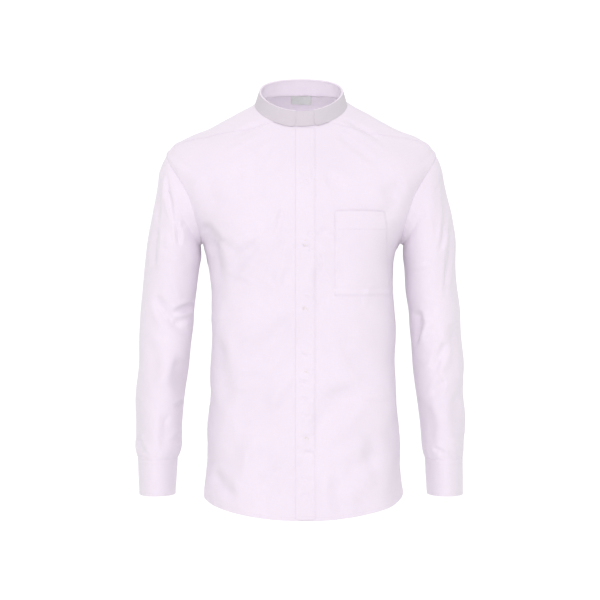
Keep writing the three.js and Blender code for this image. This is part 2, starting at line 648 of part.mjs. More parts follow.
function sleeveSurface(side, folds) {
  const rows = sleeveRows(side);
  const column = {};
  for (const name of Object.keys(rows[0])) column[name] = rows.map((row) => row[name]);
  const ringPoint = (turn, place) => {
    const value = (name) => curveThrough(column[name], place);
    const outward = (1 + Math.cos(turn * DEGREE)) / 2;
    const forward = Math.sin(turn * DEGREE);
    const x = mix(value('innerX'), value('outerX'), outward);
    const z = mix(value('innerZ'), value('outerZ'), outward);
    const y = -forward * value(forward > 0 ? 'front' : 'back');
    return new THREE.Vector3(side * x, y, z);
  };
  const armhole = (turn) => {
    const point = smoothBody(...armholePoint(turn * DEGREE, side));
    point.x += side * SLEEVE_START.out;
    point.z -= SLEEVE_START.down;
    return point;
  };
  // Place 0 is the armhole, and the sleeve leaves it along a short curve to the first ring
  const plain = (turn, place) => {
    if (place >= 1) return ringPoint(turn, place - 1);
    const start = armhole(turn);
    const end = ringPoint(turn, 0);
    const slope = ringPoint(turn, 1).sub(start).multiplyScalar(0.5);
    const along = end.clone().sub(start);
    const bend = along.clone().sub(slope);
    return start.addScaledVector(along, place).addScaledVector(bend, place * (1 - place));
  };
  return (turn, place) => {
    const point = plain(turn, place);
    const face = Math.sin(turn * DEGREE) > 0 ? 'front' : 'back';
    const depth = foldDepth(folds, point, face) * smooth(Math.abs(Math.sin(turn * DEGREE)) / FOLD_FADE.sleeve);
    if (depth === 0) return point;
    const normal = surfaceNormal(plain, turn, place).multiplyScalar(side);
    return point.addScaledVector(normal, depth);
  };
}

// The stops round a sleeve are those of the front, yoke and back on the armhole
const CUFF_STATIONS = 32;
const lastPlace = headRings + SLEEVE_TUBE.length;
const sleevePlaces = [0, 0.35, 1, 2, 3, 4, 5, ...evenStops(15).map((t) => mix(5.6, lastPlace, t))];
const sleeveTurns = [
  ...evenStops(ARMHOLE_STOPS.yoke).map((t) => mix(backTurn, frontTurn, t)).slice(0, -1),
  ...evenStops(ARMHOLE_STOPS.front).map((t) => mix(frontTurn, Math.PI, t)).slice(0, -1),
  ...evenStops(ARMHOLE_STOPS.back).map((t) => mix(Math.PI, backTurn + 2 * Math.PI, t)).slice(0, -1),
].map((turn) => turn / DEGREE);

function sleeveNormal(surface, turn, place, side) {
  const above = Math.max(place - RING_STEP, 0);
  const across = surface(turn + ANGLE_STEP, place).sub(surface(turn - ANGLE_STEP, place));
  const down = surface(turn, place + RING_STEP).sub(surface(turn, above));
  return across.cross(down).normalize().multiplyScalar(side);
}

function raisedSleeve(surface, side, turn, place, height) {
  return surface(turn, place).addScaledVector(sleeveNormal(surface, turn, place, side), height);
}

const sides = [
  { name: 'left', side: 1, folds: LEFT_SLEEVE_FOLDS },
  { name: 'right', side: -1, folds: RIGHT_SLEEVE_FOLDS },
];
for (const { name, side, folds } of sides) {
  const surface = sleeveSurface(side, folds);
  const layer = (height) => sleevePlaces.map((place) => sleeveTurns.map((turn) => {
    return raisedSleeve(surface, side, turn, place, height);
  }));
  addPiece(`sleeve_${name}`, closedWall(layer(CLOTH / 2), layer(-CLOTH / 2), true));

  // The strip on the sleeve slit, behind, just above the cuff
  const depthAt = (place) => -surface(SLEEVE_STRIP.angle, place).z;
  const endZ = -SLEEVE_TUBE.at(-1).z;
  const stripPlaces = evenStops(8).map((t) => {
    const drop = mix(endZ - SLEEVE_STRIP.length, endZ - SLEEVE_STRIP.aboveCuff, t);
    return solve(depthAt, drop, headRings + 1, lastPlace);
  });
  const stripTurns = evenStops(3).map((t) => SLEEVE_STRIP.angle + mix(-1, 1, t) * SLEEVE_STRIP.halfAngle);
  const stripLayer = (height) => stripPlaces.map((place) => stripTurns.map((turn) => {
    return raisedSleeve(surface, side, turn, place, height);
  }));
  const stripFloor = CLOTH / 2 + SEAM_GAP + FACET_ROOM;
  addPiece(`sleeve_strip_${name}`, closedWall(stripLayer(stripFloor + CLOTH), stripLayer(stripFloor), false));

  // The cuff is a stiff band whose end laps over its start, behind
  const top = SLEEVE_TUBE.at(-1);
  const topZ = top.z - SEAM_GAP;
  const cuffPoint = (turn, down, out) => {
    const outerX = mix(side > 0 ? top.leftX : top.rightX, side > 0 ? CUFF.leftX : CUFF.rightX, down);
    const innerX = mix(top.innerX, CUFF.innerX, down);
    const forward = Math.sin(turn * DEGREE);
    const depth = forward > 0 ? mix(top.front, CUFF.front, down) : mix(top.back, CUFF.back, down);
    const halfX = (outerX - innerX) / 2 + out;
    const x = (outerX + innerX) / 2 + halfX * Math.cos(turn * DEGREE);
    return new THREE.Vector3(side * x, -(depth + out) * forward, topZ - CUFF.height * down);
  };
  const lapTotal = 360 + CUFF_LAP.lapAngle;
  const lapRise = CUFF_WALL + SEAM_GAP + FACET_ROOM;
  const cuffLayer = (out) => evenStops(2).map((down) => evenStops(CUFF_STATIONS).map((t) => {
    const turn = CUFF_LAP.startAngle + lapTotal * t;
    const ramp = smooth((t * lapTotal - (360 - CUFF_LAP.rampAngle)) / CUFF_LAP.rampAngle);
    return cuffPoint(turn, down, out + ramp * lapRise);
  }));
  addPiece(`cuff_${name}`, closedWall(cuffLayer(CUFF_WALL / 2), cuffLayer(-CUFF_WALL / 2), false));

  const buttonTurn = CUFF_LAP.startAngle + CUFF_LAP.lapAngle * CUFF_LAP.buttonPlace;
  const lapOut = lapRise + CUFF_WALL / 2;
  const centre = cuffPoint(buttonTurn, 0.5, lapOut + SEAM_GAP + 2 * FACET_ROOM + CUFF_BUTTON.thickness / 2);
  const ahead = cuffPoint(buttonTurn + 1, 0.5, lapOut).sub(cuffPoint(buttonTurn - 1, 0.5, lapOut));
  const fall = cuffPoint(buttonTurn, 1, lapOut).sub(cuffPoint(buttonTurn, 0, lapOut));
  const normal = ahead.cross(fall).normalize().multiplyScalar(side);
  addButton(`cuff_button_${name}`, centre, normal, CUFF_BUTTON);
}

export default shirt;
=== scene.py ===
# %% [markdown]
# # A white shirt with a tab collar
# The shirt is filled out as if someone wore it, with nobody in it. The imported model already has
# its solids in the right places, as plain panels of thick cloth. This lesson dresses them: each
# panel becomes a thin, creased sheet of cotton in the same place, with its seams and stitches.

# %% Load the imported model
import math

import bmesh
import bpy
import numpy as np
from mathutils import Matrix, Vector


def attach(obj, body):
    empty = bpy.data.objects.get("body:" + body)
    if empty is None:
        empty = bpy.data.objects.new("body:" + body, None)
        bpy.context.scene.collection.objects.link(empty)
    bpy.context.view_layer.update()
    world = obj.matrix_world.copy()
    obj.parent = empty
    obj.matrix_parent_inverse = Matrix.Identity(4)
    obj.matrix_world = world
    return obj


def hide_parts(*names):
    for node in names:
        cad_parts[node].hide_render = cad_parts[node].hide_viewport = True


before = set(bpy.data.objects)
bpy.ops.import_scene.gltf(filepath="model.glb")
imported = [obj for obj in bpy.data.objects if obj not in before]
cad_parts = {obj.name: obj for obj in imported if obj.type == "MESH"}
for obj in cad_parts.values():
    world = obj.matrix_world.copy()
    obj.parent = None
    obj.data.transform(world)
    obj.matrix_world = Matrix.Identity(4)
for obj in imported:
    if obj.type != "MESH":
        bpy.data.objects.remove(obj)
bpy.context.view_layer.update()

MM = 0.001

# %% [markdown]
# ## The camera
# A product photo of a shirt is taken level, from far off, so that the sleeves don't look wider
# than they are. The camera stands 4.2 m in front of the chest, and its lens takes in 1.1 m there.

# %% Camera
CAMERA_DISTANCE = 4.2
VIEW_WIDTH = 1.104
VIEW_X, VIEW_Z = -0.0024, -0.3606


def add_object(name, data):
    """An object with this data, linked into the scene."""
    made = bpy.data.objects.new(name, data)
    bpy.context.scene.collection.objects.link(made)
    return made


camera_data = bpy.data.cameras.new("camera")
camera_data.sensor_width = 36.0
camera_data.lens = camera_data.sensor_width * CAMERA_DISTANCE / VIEW_WIDTH
camera = add_object("camera", camera_data)
camera.location = (VIEW_X, -CAMERA_DISTANCE, VIEW_Z)
camera.rotation_euler = (math.pi / 2, 0, 0)
bpy.context.scene.camera = camera
print("lens", round(camera_data.lens, 1), "mm")

# %% [markdown]
# ## Curves through a few measures
# The body of the shirt is described by a short table: at each height, how wide and how deep it is.
# A smooth curve through the values of one column gives the measure at any height between them.
# All measures are in millimetres, and the meshes are made in metres at the end.

# %% Smooth curves and steps
def curve_through(values, place):
    """A Catmull-Rom curve: between two values it leaves each with the slope that joins the
    neighbours on both sides of it."""
    values = np.asarray(values, dtype=float)
    last = len(values) - 1
    place = np.asarray(place, dtype=float)
    index = np.clip(np.floor(place).astype(int), 0, last - 1)
    t = place - index
    before, here, after, beyond = (values[np.clip(index + i, 0, last)] for i in (-1, 0, 1, 2))
    slope_in = (after - before) / 2
    slope_out = (beyond - here) / 2
    rise = after - here
    square = 3 * rise - 2 * slope_in - slope_out
    return here + t * (slope_in + t * (square + t * (slope_in + slope_out - 2 * rise)))


def mix(a, b, t):
    """a where t is 0 and b where t is 1, and straight between them."""
    return a + (b - a) * t


def smooth(t):
    """0 below 0, 1 above 1, and 3t^2 - 2t^3 between, so it starts and ends level."""
    t = np.clip(t, 0, 1)
    return t * t * (3 - 2 * t)


def solve(rising, target, low, high, rounds=30):
    """Where a rising function reaches its target, by halving the range again and again."""
    low = np.broadcast_to(np.asarray(low, dtype=float), np.shape(target)).copy()
    high = np.broadcast_to(np.asarray(high, dtype=float), np.shape(target)).copy()
    for _ in range(rounds):
        middle = (low + high) / 2
        below = rising(middle) < target
        low = np.where(below, middle, low)
        high = np.where(below, high, middle)
    return (low + high) / 2


print("halfway from 2 to 6 through 2, 6, 8:", curve_through([2, 6, 8], 0.5))

# %% [markdown]
# ## The form of the body
# A filled-out shirt is a tube that is nearly a rounded box in plan, and over the shoulders its
# rings tip forward. The form could be sculpted, but a table of rings keeps it where the packed
# model is, and gives every point of the cloth an address: an angle round the body, 0 in front and
# 90 at the wearer's left, and a ring number down from the neck.

# %% Rings of the body
SHOULDER_RINGS = np.array([
    # half width, side z, front, front z, back, back z, squareness, shift
    (82, -2, 58, -46, 56, 20, 2.0, 0),
    (121, -26, 80, -87, 83, -3, 2.1, 0),
    (173, -51, 99, -121, 104, -40, 2.2, 0),
    (219, -69, 112, -149, 118, -80, 2.3, 0),
    (247, -95, 120, -174, 126, -120, 2.3, 0),
    (225, -175, 129, -216, 131, -188, 2.3, 0),
    (181, -256, 133, -256, 130, -256, 2.5, 0),
])
BODY_RINGS = np.array([
    # half width, front, back, squareness, shift
    (168, 131, 124, 2.7, 1),
    (166, 128, 117, 2.8, 2),
    (168.5, 126, 113, 2.8, 2.5),
    (170, 125, 112, 2.8, 3),
    (171.8, 126, 114, 2.8, 3.5),
    (174.5, 128, 118, 2.7, 4),
    (178.8, 130, 121, 2.6, 4.5),
    (181, 132, 124, 2.6, 4.5),
    (181, 133, 126, 2.6, 4.5),
])
RING_PITCH = 60
ARMPIT_Z = -256
ARMPIT_RING = 6
level_z = ARMPIT_Z - RING_PITCH * np.arange(1, len(BODY_RINGS) + 1)
half, front, back, square, shift = BODY_RINGS.T
rings = np.vstack([
    SHOULDER_RINGS,
    np.column_stack([half, level_z, front, level_z, back, level_z, square, shift]),
])


def smooth_body(angle, ring):
    """Each ring is a superellipse, |x/width|^p + |y/depth|^p = 1, and its height is a curve
    through the heights at the back, at the side and in front."""
    half, side_z, front, front_z, back, back_z, power, shift = (
        curve_through(column, ring) for column in rings.T)
    sine = np.sin(np.radians(angle))
    cosine = np.cos(np.radians(angle))
    depth = np.where(cosine > 0, front, back)
    total = (np.abs(sine) / half) ** power + (np.abs(cosine) / depth) ** power
    radius = total ** (-1 / power)
    forward = radius * cosine / depth
    z = side_z + (front_z - back_z) / 2 * forward + ((front_z + back_z) / 2 - side_z) * forward ** 2
    return np.stack([radius * sine + shift, -radius * cosine, z], axis=-1)


print("rings", len(rings), "widest", 2 * rings[:, 0].max(), "mm")

# %% [markdown]
# ## Folds
# Cotton doesn't stretch, so it answers a pull or a bend with folds: a trough with a soft shoulder
# on both sides, that fades out at its ends. Each main fold is placed from the photograph by three
# points on its line, seen from the front, with its own width and depth. Many small creases, drawn
# from a fixed list of random numbers, fill in between them.

# %% The shape of a fold
FOLD_ENDS = (0.24, 0.34)
FOLD_TAPER = 0.45
FOLD_BOW = 0.12
SHOULDER = {"height": 0.3, "place": 1.8, "width": 0.75}


def fold_depth(folds, x, z, strength=1.0):
    """The sum of the folds. Across a fold the depth is exp(-q^2) less a low bump on each side,
    q being the distance from its line over its width. The line is a parabola through the three
    points, and the depth and width fade towards its ends."""
    depth = np.zeros(np.broadcast(x, z).shape)
    for x1, z1, x2, z2, x3, z3, width, deep in folds:
        run_x, run_z = x3 - x1, z3 - z1
        length = math.hypot(run_x, run_z)
        along = ((x - x1) * run_x + (z - z1) * run_z) / length ** 2
        t = np.clip(along, 0, 1)
        bend = ((x2 - (x1 + x3) / 2) * run_z - (z2 - (z1 + z3) / 2) * run_x) / length
        across = ((x - x1) * run_z - (z - z1) * run_x) / length - 4 * bend * t * (1 - t)
        q = np.abs(across) / (width * (1 - FOLD_TAPER + FOLD_TAPER * np.sin(np.pi * t)))
        side = np.exp(-((q - SHOULDER["place"]) / SHOULDER["width"]) ** 2)
        ends = smooth(along / FOLD_ENDS[0]) * smooth((1 - along) / FOLD_ENDS[1])
        depth += deep * ends * (np.exp(-q * q) - SHOULDER["height"] * side)
    return strength * depth


def scattered_folds(seed, count, x_range, z_range, lengths, widths, depths):
    """Small creases at random places of a range, each with a random direction, length, width and
    depth."""
    draw = np.random.default_rng(seed)
    x = draw.uniform(*x_range, count)
    z = draw.uniform(*z_range, count)
    turn = draw.uniform(0, math.pi, count)
    length = draw.uniform(*lengths, count)
    half_x, half_z = np.cos(turn) * length / 2, np.sin(turn) * length / 2
    bow = draw.uniform(-FOLD_BOW, FOLD_BOW, count) * length
    width = draw.uniform(*widths, count)
    deep = draw.uniform(*depths, count) * draw.choice([-1, 1], count)
    middle_x, middle_z = x - np.sin(turn) * bow, z + np.cos(turn) * bow
    return np.column_stack([
        x - half_x, z - half_z, middle_x, middle_z, x + half_x, z + half_z, width, deep])


one_fold = [(0, -50, 0, 0, 0, 50, 10, 2)]
beside = np.array([0, 10, 20])
print("fold depth", beside, "mm beside its line:", fold_depth(one_fold, beside, 0).round(2))

# %% Folds of the front and back
FRONT_FOLDS = [
    # x, z at the start, the middle and the end, then width and depth; a minus depth is a ridge
    (-180, -219, -168, -244, -147, -276, 14, 3.4),
    (-174, -250, -152, -293, -147, -346, 13, 3.6),
    (-67, -250, -97, -271, -142, -343, 12, 3.4),
    (-27, -89, -52, -111, -83, -132, 16, 1.8),
    (-31, -191, -38, -218, -49, -253, 6, 2),
    (-20, -253, -33, -293, -43, -343, 9, -2),
    (-106, -125, -117, -137, -136, -143, 13, 1.6),
    (182, -139, 169, -161, 144, -182, 14, 2.2),
    (176, -170, 160, -196, 128, -214, 12, 1.4),
    (-17, -489, -38, -525, -70, -561, 12, -2.6),
    (-20, -382, -59, -441, -110, -489, 16, 3),
    (-70, -593, -101, -655, -117, -718, 16, -3),
    (16, -611, 51, -557, 126, -512, 22, 4),
    (69, -414, 108, -477, 162, -525, 20, 3),
    (51, -718, 96, -664, 162, -629, 18, 3),
    (-160, -664, -142, -696, -113, -718, 12, 3),
    (-30, -640, -60, -690, -66, -752, 13, 2.2),
    (60, -640, 62, -700, 84, -764, 14, 2.4),
    (-150, -420, -142, -500, -128, -560, 14, 2.2),
    (34, -290, 30, -340, 42, -400, 10, 1.6),
    (40, -130, 66, -152, 104, -160, 11, 1.8),
    (118, -590, 134, -650, 132, -720, 16, 2.6),
    (70, -30, 110, -48, 150, -74, 5, 1.4),
    (78, -46, 118, -66, 160, -98, 6, -1.2),
    (60, -56, 100, -84, 140, -122, 8, 1.5),
    (-60, -34, -100, -52, -140, -78, 5, 1.4),
    (-70, -58, -108, -80, -150, -104, 6, -1.2),
    (-40, -70, -70, -104, -96, -150, 8, 1.6),
    (28, -232, 46, -246, 68, -268, 12, 2.4),
    (30, -274, 38, -300, 54, -328, 6, 1.8),
    (-172, -128, -160, -168, -150, -206, 16, 2),
]
BACK_FOLDS = [
    (-178, -205, -156, -262, -118, -322, 13, 4.6),
    (180, -202, 160, -268, 124, -334, 13, 4.8),
    (-164, -262, -120, -300, -60, -318, 12, 2.6),
    (168, -260, 112, -306, 46, -312, 12, 2.4),
    (-70, -330, -92, -520, -84, -700, 20, 4.4),
    (66, -300, 90, -500, 80, -722, 22, 4.4),
    (2, -390, -8, -560, 8, -752, 24, -3.6),
    (-130, -420, -122, -560, -142, -690, 16, 3),
    (132, -400, 140, -560, 130, -720, 17, 3.2),
    (-24, -170, -30, -250, -12, -330, 15, 2),
    (30, -168, 40, -240, 36, -318, 14, 1.8),
    (-96, -150, -104, -196, -90, -250, 13, 2),
    (102, -152, 100, -204, 84, -262, 13, 2.2),
    (-40, -560, -20, -640, -34, -740, 14, 2.4),
]
small_front = scattered_folds(11, 90, (-160, 165), (-735, -110), (30, 95), (5, 13), (0.15, 0.7))
small_back = scattered_folds(12, 80, (-165, 165), (-745, -120), (30, 95), (5, 13), (0.2, 0.8))
print("folds by hand", len(FRONT_FOLDS) + len(BACK_FOLDS), "small", len(small_front) + len(small_back))

# %% [markdown]
# ## Slow waves
# No hanging cloth is quite even. A few dozen sine waves that cross it in fixed random directions
# add up to a gentle unevenness. They are waves in space, not on a panel, so they run on over a
# seam without a step.

# %% Waves in space
WAVES = 18
wave_draw = np.random.default_rng(5)
wave_length = wave_draw.uniform(38, 170, WAVES)
wave_direction = wave_draw.normal(size=(WAVES, 3)) * (1.0, 0.6, 0.8)
wave_direction /= np.linalg.norm(wave_direction, axis=1, keepdims=True)
wave_turn = wave_draw.uniform(0, 2 * math.pi, WAVES)
WAVE_HEIGHT = 0.0042
WOBBLES = 400


def waves(points, strength=1.0):
    """The sum of sines of the position along each wave's direction; a long wave is a high one."""
    height = np.zeros(points.shape[:-1])
    for length, direction, turn in zip(wave_length, wave_direction, wave_turn):
        height += WAVE_HEIGHT * length * np.sin(points @ direction * 2 * math.pi / length + turn)
    return strength * height


def wobble(seed, place, pitch):
    """A row of random heights between -1 and 1, pitch apart, with a smooth curve through them."""
    heights = np.random.default_rng(seed).uniform(-1, 1, WOBBLES)
    return curve_through(heights, np.clip(np.asarray(place) / pitch, 0, WOBBLES - 2))


print("waves from", round(wave_length.min()), "to", round(wave_length.max()), "mm long")


# %% How the body's cloth departs from its smooth form
ARMHOLE = {"ring": 5, "half_height": 1, "half_angle": 20}
BODY_STRENGTH, SMALL_STRENGTH = 1.65, 1.7
BACK_STRENGTH = 1.3 * BODY_STRENGTH
SHOULDER_POINT = {"ring": 3.68, "width": 0.27, "half_angle": 24, "drop": 4.4}
FADE = {"face": 34, "armhole": 0.22, "neck": 0.4}


def body_relief(points, angle, ring):
    """The slow waves less the folds of the face that the point is on, and a shallow hollow where
    the yoke rounds over the point of the shoulder. All fade out at the neck and at the armholes,
    where other panels are sewn on."""
    x, y, z = np.moveaxis(points, -1, 0)
    depth = smooth(-y / FADE["face"]) * (fold_depth(FRONT_FOLDS, x, z, BODY_STRENGTH)
                                         + fold_depth(small_front, x, z, SMALL_STRENGTH))
    depth += smooth(y / FADE["face"]) * (fold_depth(BACK_FOLDS, x, z, BACK_STRENGTH)
                                         + fold_depth(small_back, x, z, SMALL_STRENGTH))
    from_front = np.abs((np.asarray(angle) + 180) % 360 - 180)
    armhole = np.hypot((from_front - 90) / ARMHOLE["half_angle"],
                       (ring - ARMHOLE["ring"]) / ARMHOLE["half_height"])
    clear = smooth((armhole - 1) / FADE["armhole"]) * smooth(np.asarray(ring) / FADE["neck"])
    depth += SHOULDER_POINT["drop"] * np.exp(
        -((ring - SHOULDER_POINT["ring"]) / SHOULDER_POINT["width"]) ** 2
        - ((from_front - 90) / SHOULDER_POINT["half_angle"]) ** 2)
    return (waves(points) - depth) * clear


chest = smooth_body(30, 5.5)
print("relief beside the armpit:", round(float(body_relief(chest, 30, 5.5)), 2), "mm")

# %% [markdown]
# ## From a grid of points to a piece of cloth
# A panel is computed as rows and columns of points at once, as whole arrays. Its mesh is one quad
# per cell, a UV map holds the distances along the cloth in metres, for the weave to follow, and a
# Solidify modifier gives the sheet its thickness and closes its edges.

# %% Grids
def lengths(points, axis):
    """Distance along the grid lines from their start, summed from point to point."""
    steps = np.linalg.norm(np.diff(points, axis=axis), axis=-1)
    start = np.zeros_like(np.take(steps, [0], axis=axis))
    return np.concatenate([start, np.cumsum(steps, axis=axis)], axis=axis)


def grid_normals(points, outward=1, wraps=False):
    """The cross product of the steps down and across the grid, to unit length."""
    if wraps:
        across = np.roll(points, -1, axis=1) - np.roll(points, 1, axis=1)
    else:
        across = np.gradient(points, axis=1)
    down = np.gradient(points, axis=0)
    normal = np.cross(down, across)
    return outward * normal / np.linalg.norm(normal, axis=-1, keepdims=True)


def raised(points, normals, height):
    """The points moved along their normals."""
    return points + normals * np.asarray(height)[..., None]


def unrolled(points, wraps):
    """A grid that wraps, with its first column once more at its end. Any other stays as it is."""
    return np.concatenate([points, points[:, :1]], axis=1) if wraps else points


def quad_mesh(name, points, faces):
    """A smooth mesh from points in millimetres and the four corner numbers of each face."""
    mesh = bpy.data.meshes.new(name)
    mesh.vertices.add(points.size // 3)
    mesh.vertices.foreach_set("co", (points * MM).astype(np.float32).ravel())
    mesh.loops.add(faces.size)
    mesh.loops.foreach_set("vertex_index", faces.ravel().astype(np.int32))
    mesh.polygons.add(faces.size // 4)
    mesh.polygons.foreach_set("loop_start", np.arange(0, faces.size, 4, dtype=np.int32))
    mesh.update(calc_edges=True)
    mesh.shade_smooth()
    return mesh


def cloth_mesh(name, points, outward=1, wraps=False):
    """Quads between neighbouring rows and columns. Where the grid wraps, the last column joins the
    first, and the UV map runs on to the full length round."""
    rows, columns = points.shape[:2]
    spread = unrolled(points, wraps)
    uv = np.stack([lengths(spread, 1), -lengths(spread, 0)], axis=-1)
    row, column = np.meshgrid(np.arange(rows - 1), np.arange(spread.shape[1] - 1), indexing="ij")
    corner_row = np.stack([row, row + 1, row + 1, row], axis=-1)
    corner_column = np.stack([column, column, column + 1, column + 1], axis=-1)
    if outward < 0:
        corner_row, corner_column = corner_row[..., ::-1], corner_column[..., ::-1]
    mesh = quad_mesh(name, points, corner_row * columns + corner_column % columns)
    layer = mesh.uv_layers.new(name="cloth")
    layer.data.foreach_set("uv", (uv[corner_row, corner_column] * MM).astype(np.float32).ravel())
    return mesh


def cloth_area(points, wraps=False):
    """The area of all cells, each half the length of the cross product of its diagonals."""
    spread = unrolled(points, wraps)
    first = spread[1:, 1:] - spread[:-1, :-1]
    second = spread[1:, :-1] - spread[:-1, 1:]
    return np.linalg.norm(np.cross(first, second), axis=-1).sum() / 2


square = np.array([[(0.0, 0, 0), (10, 0, 0)], [(0, 0, -10), (10, 0, -10)]])
print("area of a 10 mm square:", cloth_area(square), "mm2")

# %% [markdown]
# ## The cloth itself
# White shirting is a fine plain weave: threads 0.35 mm apart go over and under each other. Its
# relief is far too small for geometry, so the material makes it from two crossed waves on the UV
# map. Slubs, where a thread is a little thicker, are noise stretched along the threads, and they
# change the colour a little too. A faint sheen stands for the fine nap of cotton.

# %% Helpers for materials
def new_material(name, settings):
    """A material, its node tree and its shader, with some of the shader's sockets given."""
    material = bpy.data.materials.new(name)
    material.use_nodes = True
    shader = material.node_tree.nodes["Principled BSDF"]
    for socket, value in settings.items():
        shader.inputs[socket].default_value = value
    return material, material.node_tree, shader


def new_node(tree, kind, **settings):
    """A shader node with some of its sockets and settings given."""
    node = tree.nodes.new(kind)
    for key, value in settings.items():
        if key in node.inputs:
            node.inputs[key].default_value = value
        else:
            setattr(node, key, value)
    return node


def maths(tree, operation, *values):
    """The result of a Math node. Each value is the output of another node or a plain number."""
    node = new_node(tree, "ShaderNodeMath", operation=operation)
    for socket, value in zip(node.inputs, values):
        if isinstance(value, bpy.types.NodeSocket):
            tree.links.new(value, socket)
        else:
            socket.default_value = value
    return node.outputs["Value"]


def colour_ramp(tree, value, low, high, start=0.0, end=1.0):
    """One colour up to the start and another from the end on, mixed between them."""
    ramp = tree.nodes.new("ShaderNodeValToRGB")
    ramp.color_ramp.elements[0].position = start
    ramp.color_ramp.elements[0].color = (*low, 1)
    ramp.color_ramp.elements[1].position = end
    ramp.color_ramp.elements[1].color = (*high, 1)
    tree.links.new(value, ramp.inputs["Fac"])
    return ramp.outputs["Color"]


# %% Shirting material
THREAD_PITCH = 0.00035
WAVE_TEXTURE_PERIOD = math.pi / 10
SLUBS = {"scale": 900.0, "stretch": 0.06, "relief": 0.6}
CLOUD_SCALE = 9.0
TONE_RANGE = (0.12, 0.38)
WEAVE_RELIEF = 0.0001


def slub_noise(tree, place):
    """The mean of two noises, stretched along the two directions of the threads."""
    noises = []
    for stretch in ((1, SLUBS["stretch"], 1), (SLUBS["stretch"], 1, 1)):
        along = new_node(tree, "ShaderNodeMapping", Scale=stretch)
        noise = new_node(tree, "ShaderNodeTexNoise", Scale=SLUBS["scale"], Detail=2.0)
        tree.links.new(place, along.inputs["Vector"])
        tree.links.new(along.outputs["Vector"], noise.inputs["Vector"])
        noises.append(noise.outputs["Fac"])
    return maths(tree, "MULTIPLY_ADD", noises[1], 0.5, maths(tree, "MULTIPLY", noises[0], 0.5))


def weave_material(name, colour, shade, roughness=0.86, sheen=0.12, bump=0.3, pitch=THREAD_PITCH,
                   turned=None):
    """Cotton in two close colours, mixed by slubs, with the bump of a plain weave. Where turned
    gives a width and a colour, a band of that width along the top edge has that colour."""
    material, tree, shader = new_material(name, {
        "Roughness": roughness, "Sheen Weight": sheen, "Sheen Roughness": 0.5,
        "Specular IOR Level": 0.25})
    link = tree.links.new
    place = new_node(tree, "ShaderNodeUVMap", uv_map="cloth").outputs["UV"]
    scale = WAVE_TEXTURE_PERIOD / pitch
    threads = []
    for direction in ("X", "Y"):
        wave = new_node(tree, "ShaderNodeTexWave", bands_direction=direction, Scale=scale)
        link(place, wave.inputs["Vector"])
        threads.append(wave.outputs["Fac"])
    slubs = slub_noise(tree, place)
    position = tree.nodes.new("ShaderNodeTexCoord")
    cloud = new_node(tree, "ShaderNodeTexNoise", Scale=CLOUD_SCALE, Detail=3.0)
    link(position.outputs["Object"], cloud.inputs["Vector"])
    tone = maths(tree, "MULTIPLY", slubs, cloud.outputs["Fac"])
    base = colour_ramp(tree, tone, shade, colour, *TONE_RANGE)
    # In the collar, this band along the top edge keeps the shirt's own white, and the rest of the face
    # carries painted shade.
    if turned:
        parts = tree.nodes.new("ShaderNodeSeparateXYZ")
        link(place, parts.inputs["Vector"])
        near = maths(tree, "GREATER_THAN", parts.outputs["Y"], -turned[0] * MM)
        shaded_face_and_turned_band = new_node(tree, "ShaderNodeMix", data_type="RGBA")
        shaded_face_and_turned_band.inputs["B"].default_value = (*turned[1], 1)
        link(near, shaded_face_and_turned_band.inputs["Factor"])
        link(base, shaded_face_and_turned_band.inputs["A"])
        base = shaded_face_and_turned_band.outputs["Result"]
    link(base, shader.inputs["Base Color"])
    height = maths(tree, "MULTIPLY_ADD", slubs, SLUBS["relief"], maths(tree, "MULTIPLY", *threads))
    relief = new_node(tree, "ShaderNodeBump", Strength=bump, Distance=WEAVE_RELIEF)
    link(height, relief.inputs["Height"])
    link(relief.outputs["Normal"], shader.inputs["Normal"])
    return material


SHIRT_WHITE = (0.86, 0.82, 0.875)
SHIRT_SHADE = (0.825, 0.785, 0.84)
# The collar's colours are the shirt's white darkened. This is painted shade, because the collar is the
# same white cloth.
COLLAR_PAINTED_SHADE = (0.685, 0.665, 0.692)
COLLAR_PAINTED_SHADE_DEEP = (0.635, 0.615, 0.642)
TAB_PAINTED_SHADE_DEEP = (0.64, 0.62, 0.647)
TURNED_BAND = 5.2
shirting = weave_material("shirting", SHIRT_WHITE, SHIRT_SHADE)
# The fall's outer face is painted shade, and its turned band at the top keeps the shirt's white.
collar_cloth = weave_material("collar_cloth", COLLAR_PAINTED_SHADE, COLLAR_PAINTED_SHADE_DEEP, bump=0.4, pitch=0.00042,
                              turned=(TURNED_BAND, SHIRT_WHITE))
# The tab's colours are the same painted shade as the collar's face.
tab_cloth = weave_material("tab_cloth", COLLAR_PAINTED_SHADE, TAB_PAINTED_SHADE_DEEP, sheen=0.2, pitch=0.0005)
for material in (shirting, collar_cloth, tab_cloth):
    print("material", material.name, "with", len(material.node_tree.nodes), "nodes")

# %% [markdown]
# ## Making a piece
# Each sheet of cloth becomes an object with its material and a Solidify modifier that gives its
# thickness, with a soft bevel on its edges where one is asked for, and the panel of the model that
# it replaces is hidden.

# %% Add a sheet of cloth
CLOTH_THICKNESS = 0.6
BEVEL_ANGLE = 50
pieces = {}


def add_cloth(name, points, nodes, material=shirting, outward=1, wraps=False,
              thickness=CLOTH_THICKNESS, bevel=0):
    piece = add_object(name, cloth_mesh(name, points, outward, wraps))
    piece.data.materials.append(material)
    wall = piece.modifiers.new("thickness", "SOLIDIFY")
    wall.thickness = thickness * MM
    wall.offset = 0
    if bevel:
        edge = piece.modifiers.new("soft edge", "BEVEL")
        edge.width = bevel * MM
        edge.segments = 2
        edge.limit_method = "ANGLE"
        edge.angle_limit = math.radians(BEVEL_ANGLE)
    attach(piece, "root")
    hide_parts(*nodes)
    pieces[name] = points


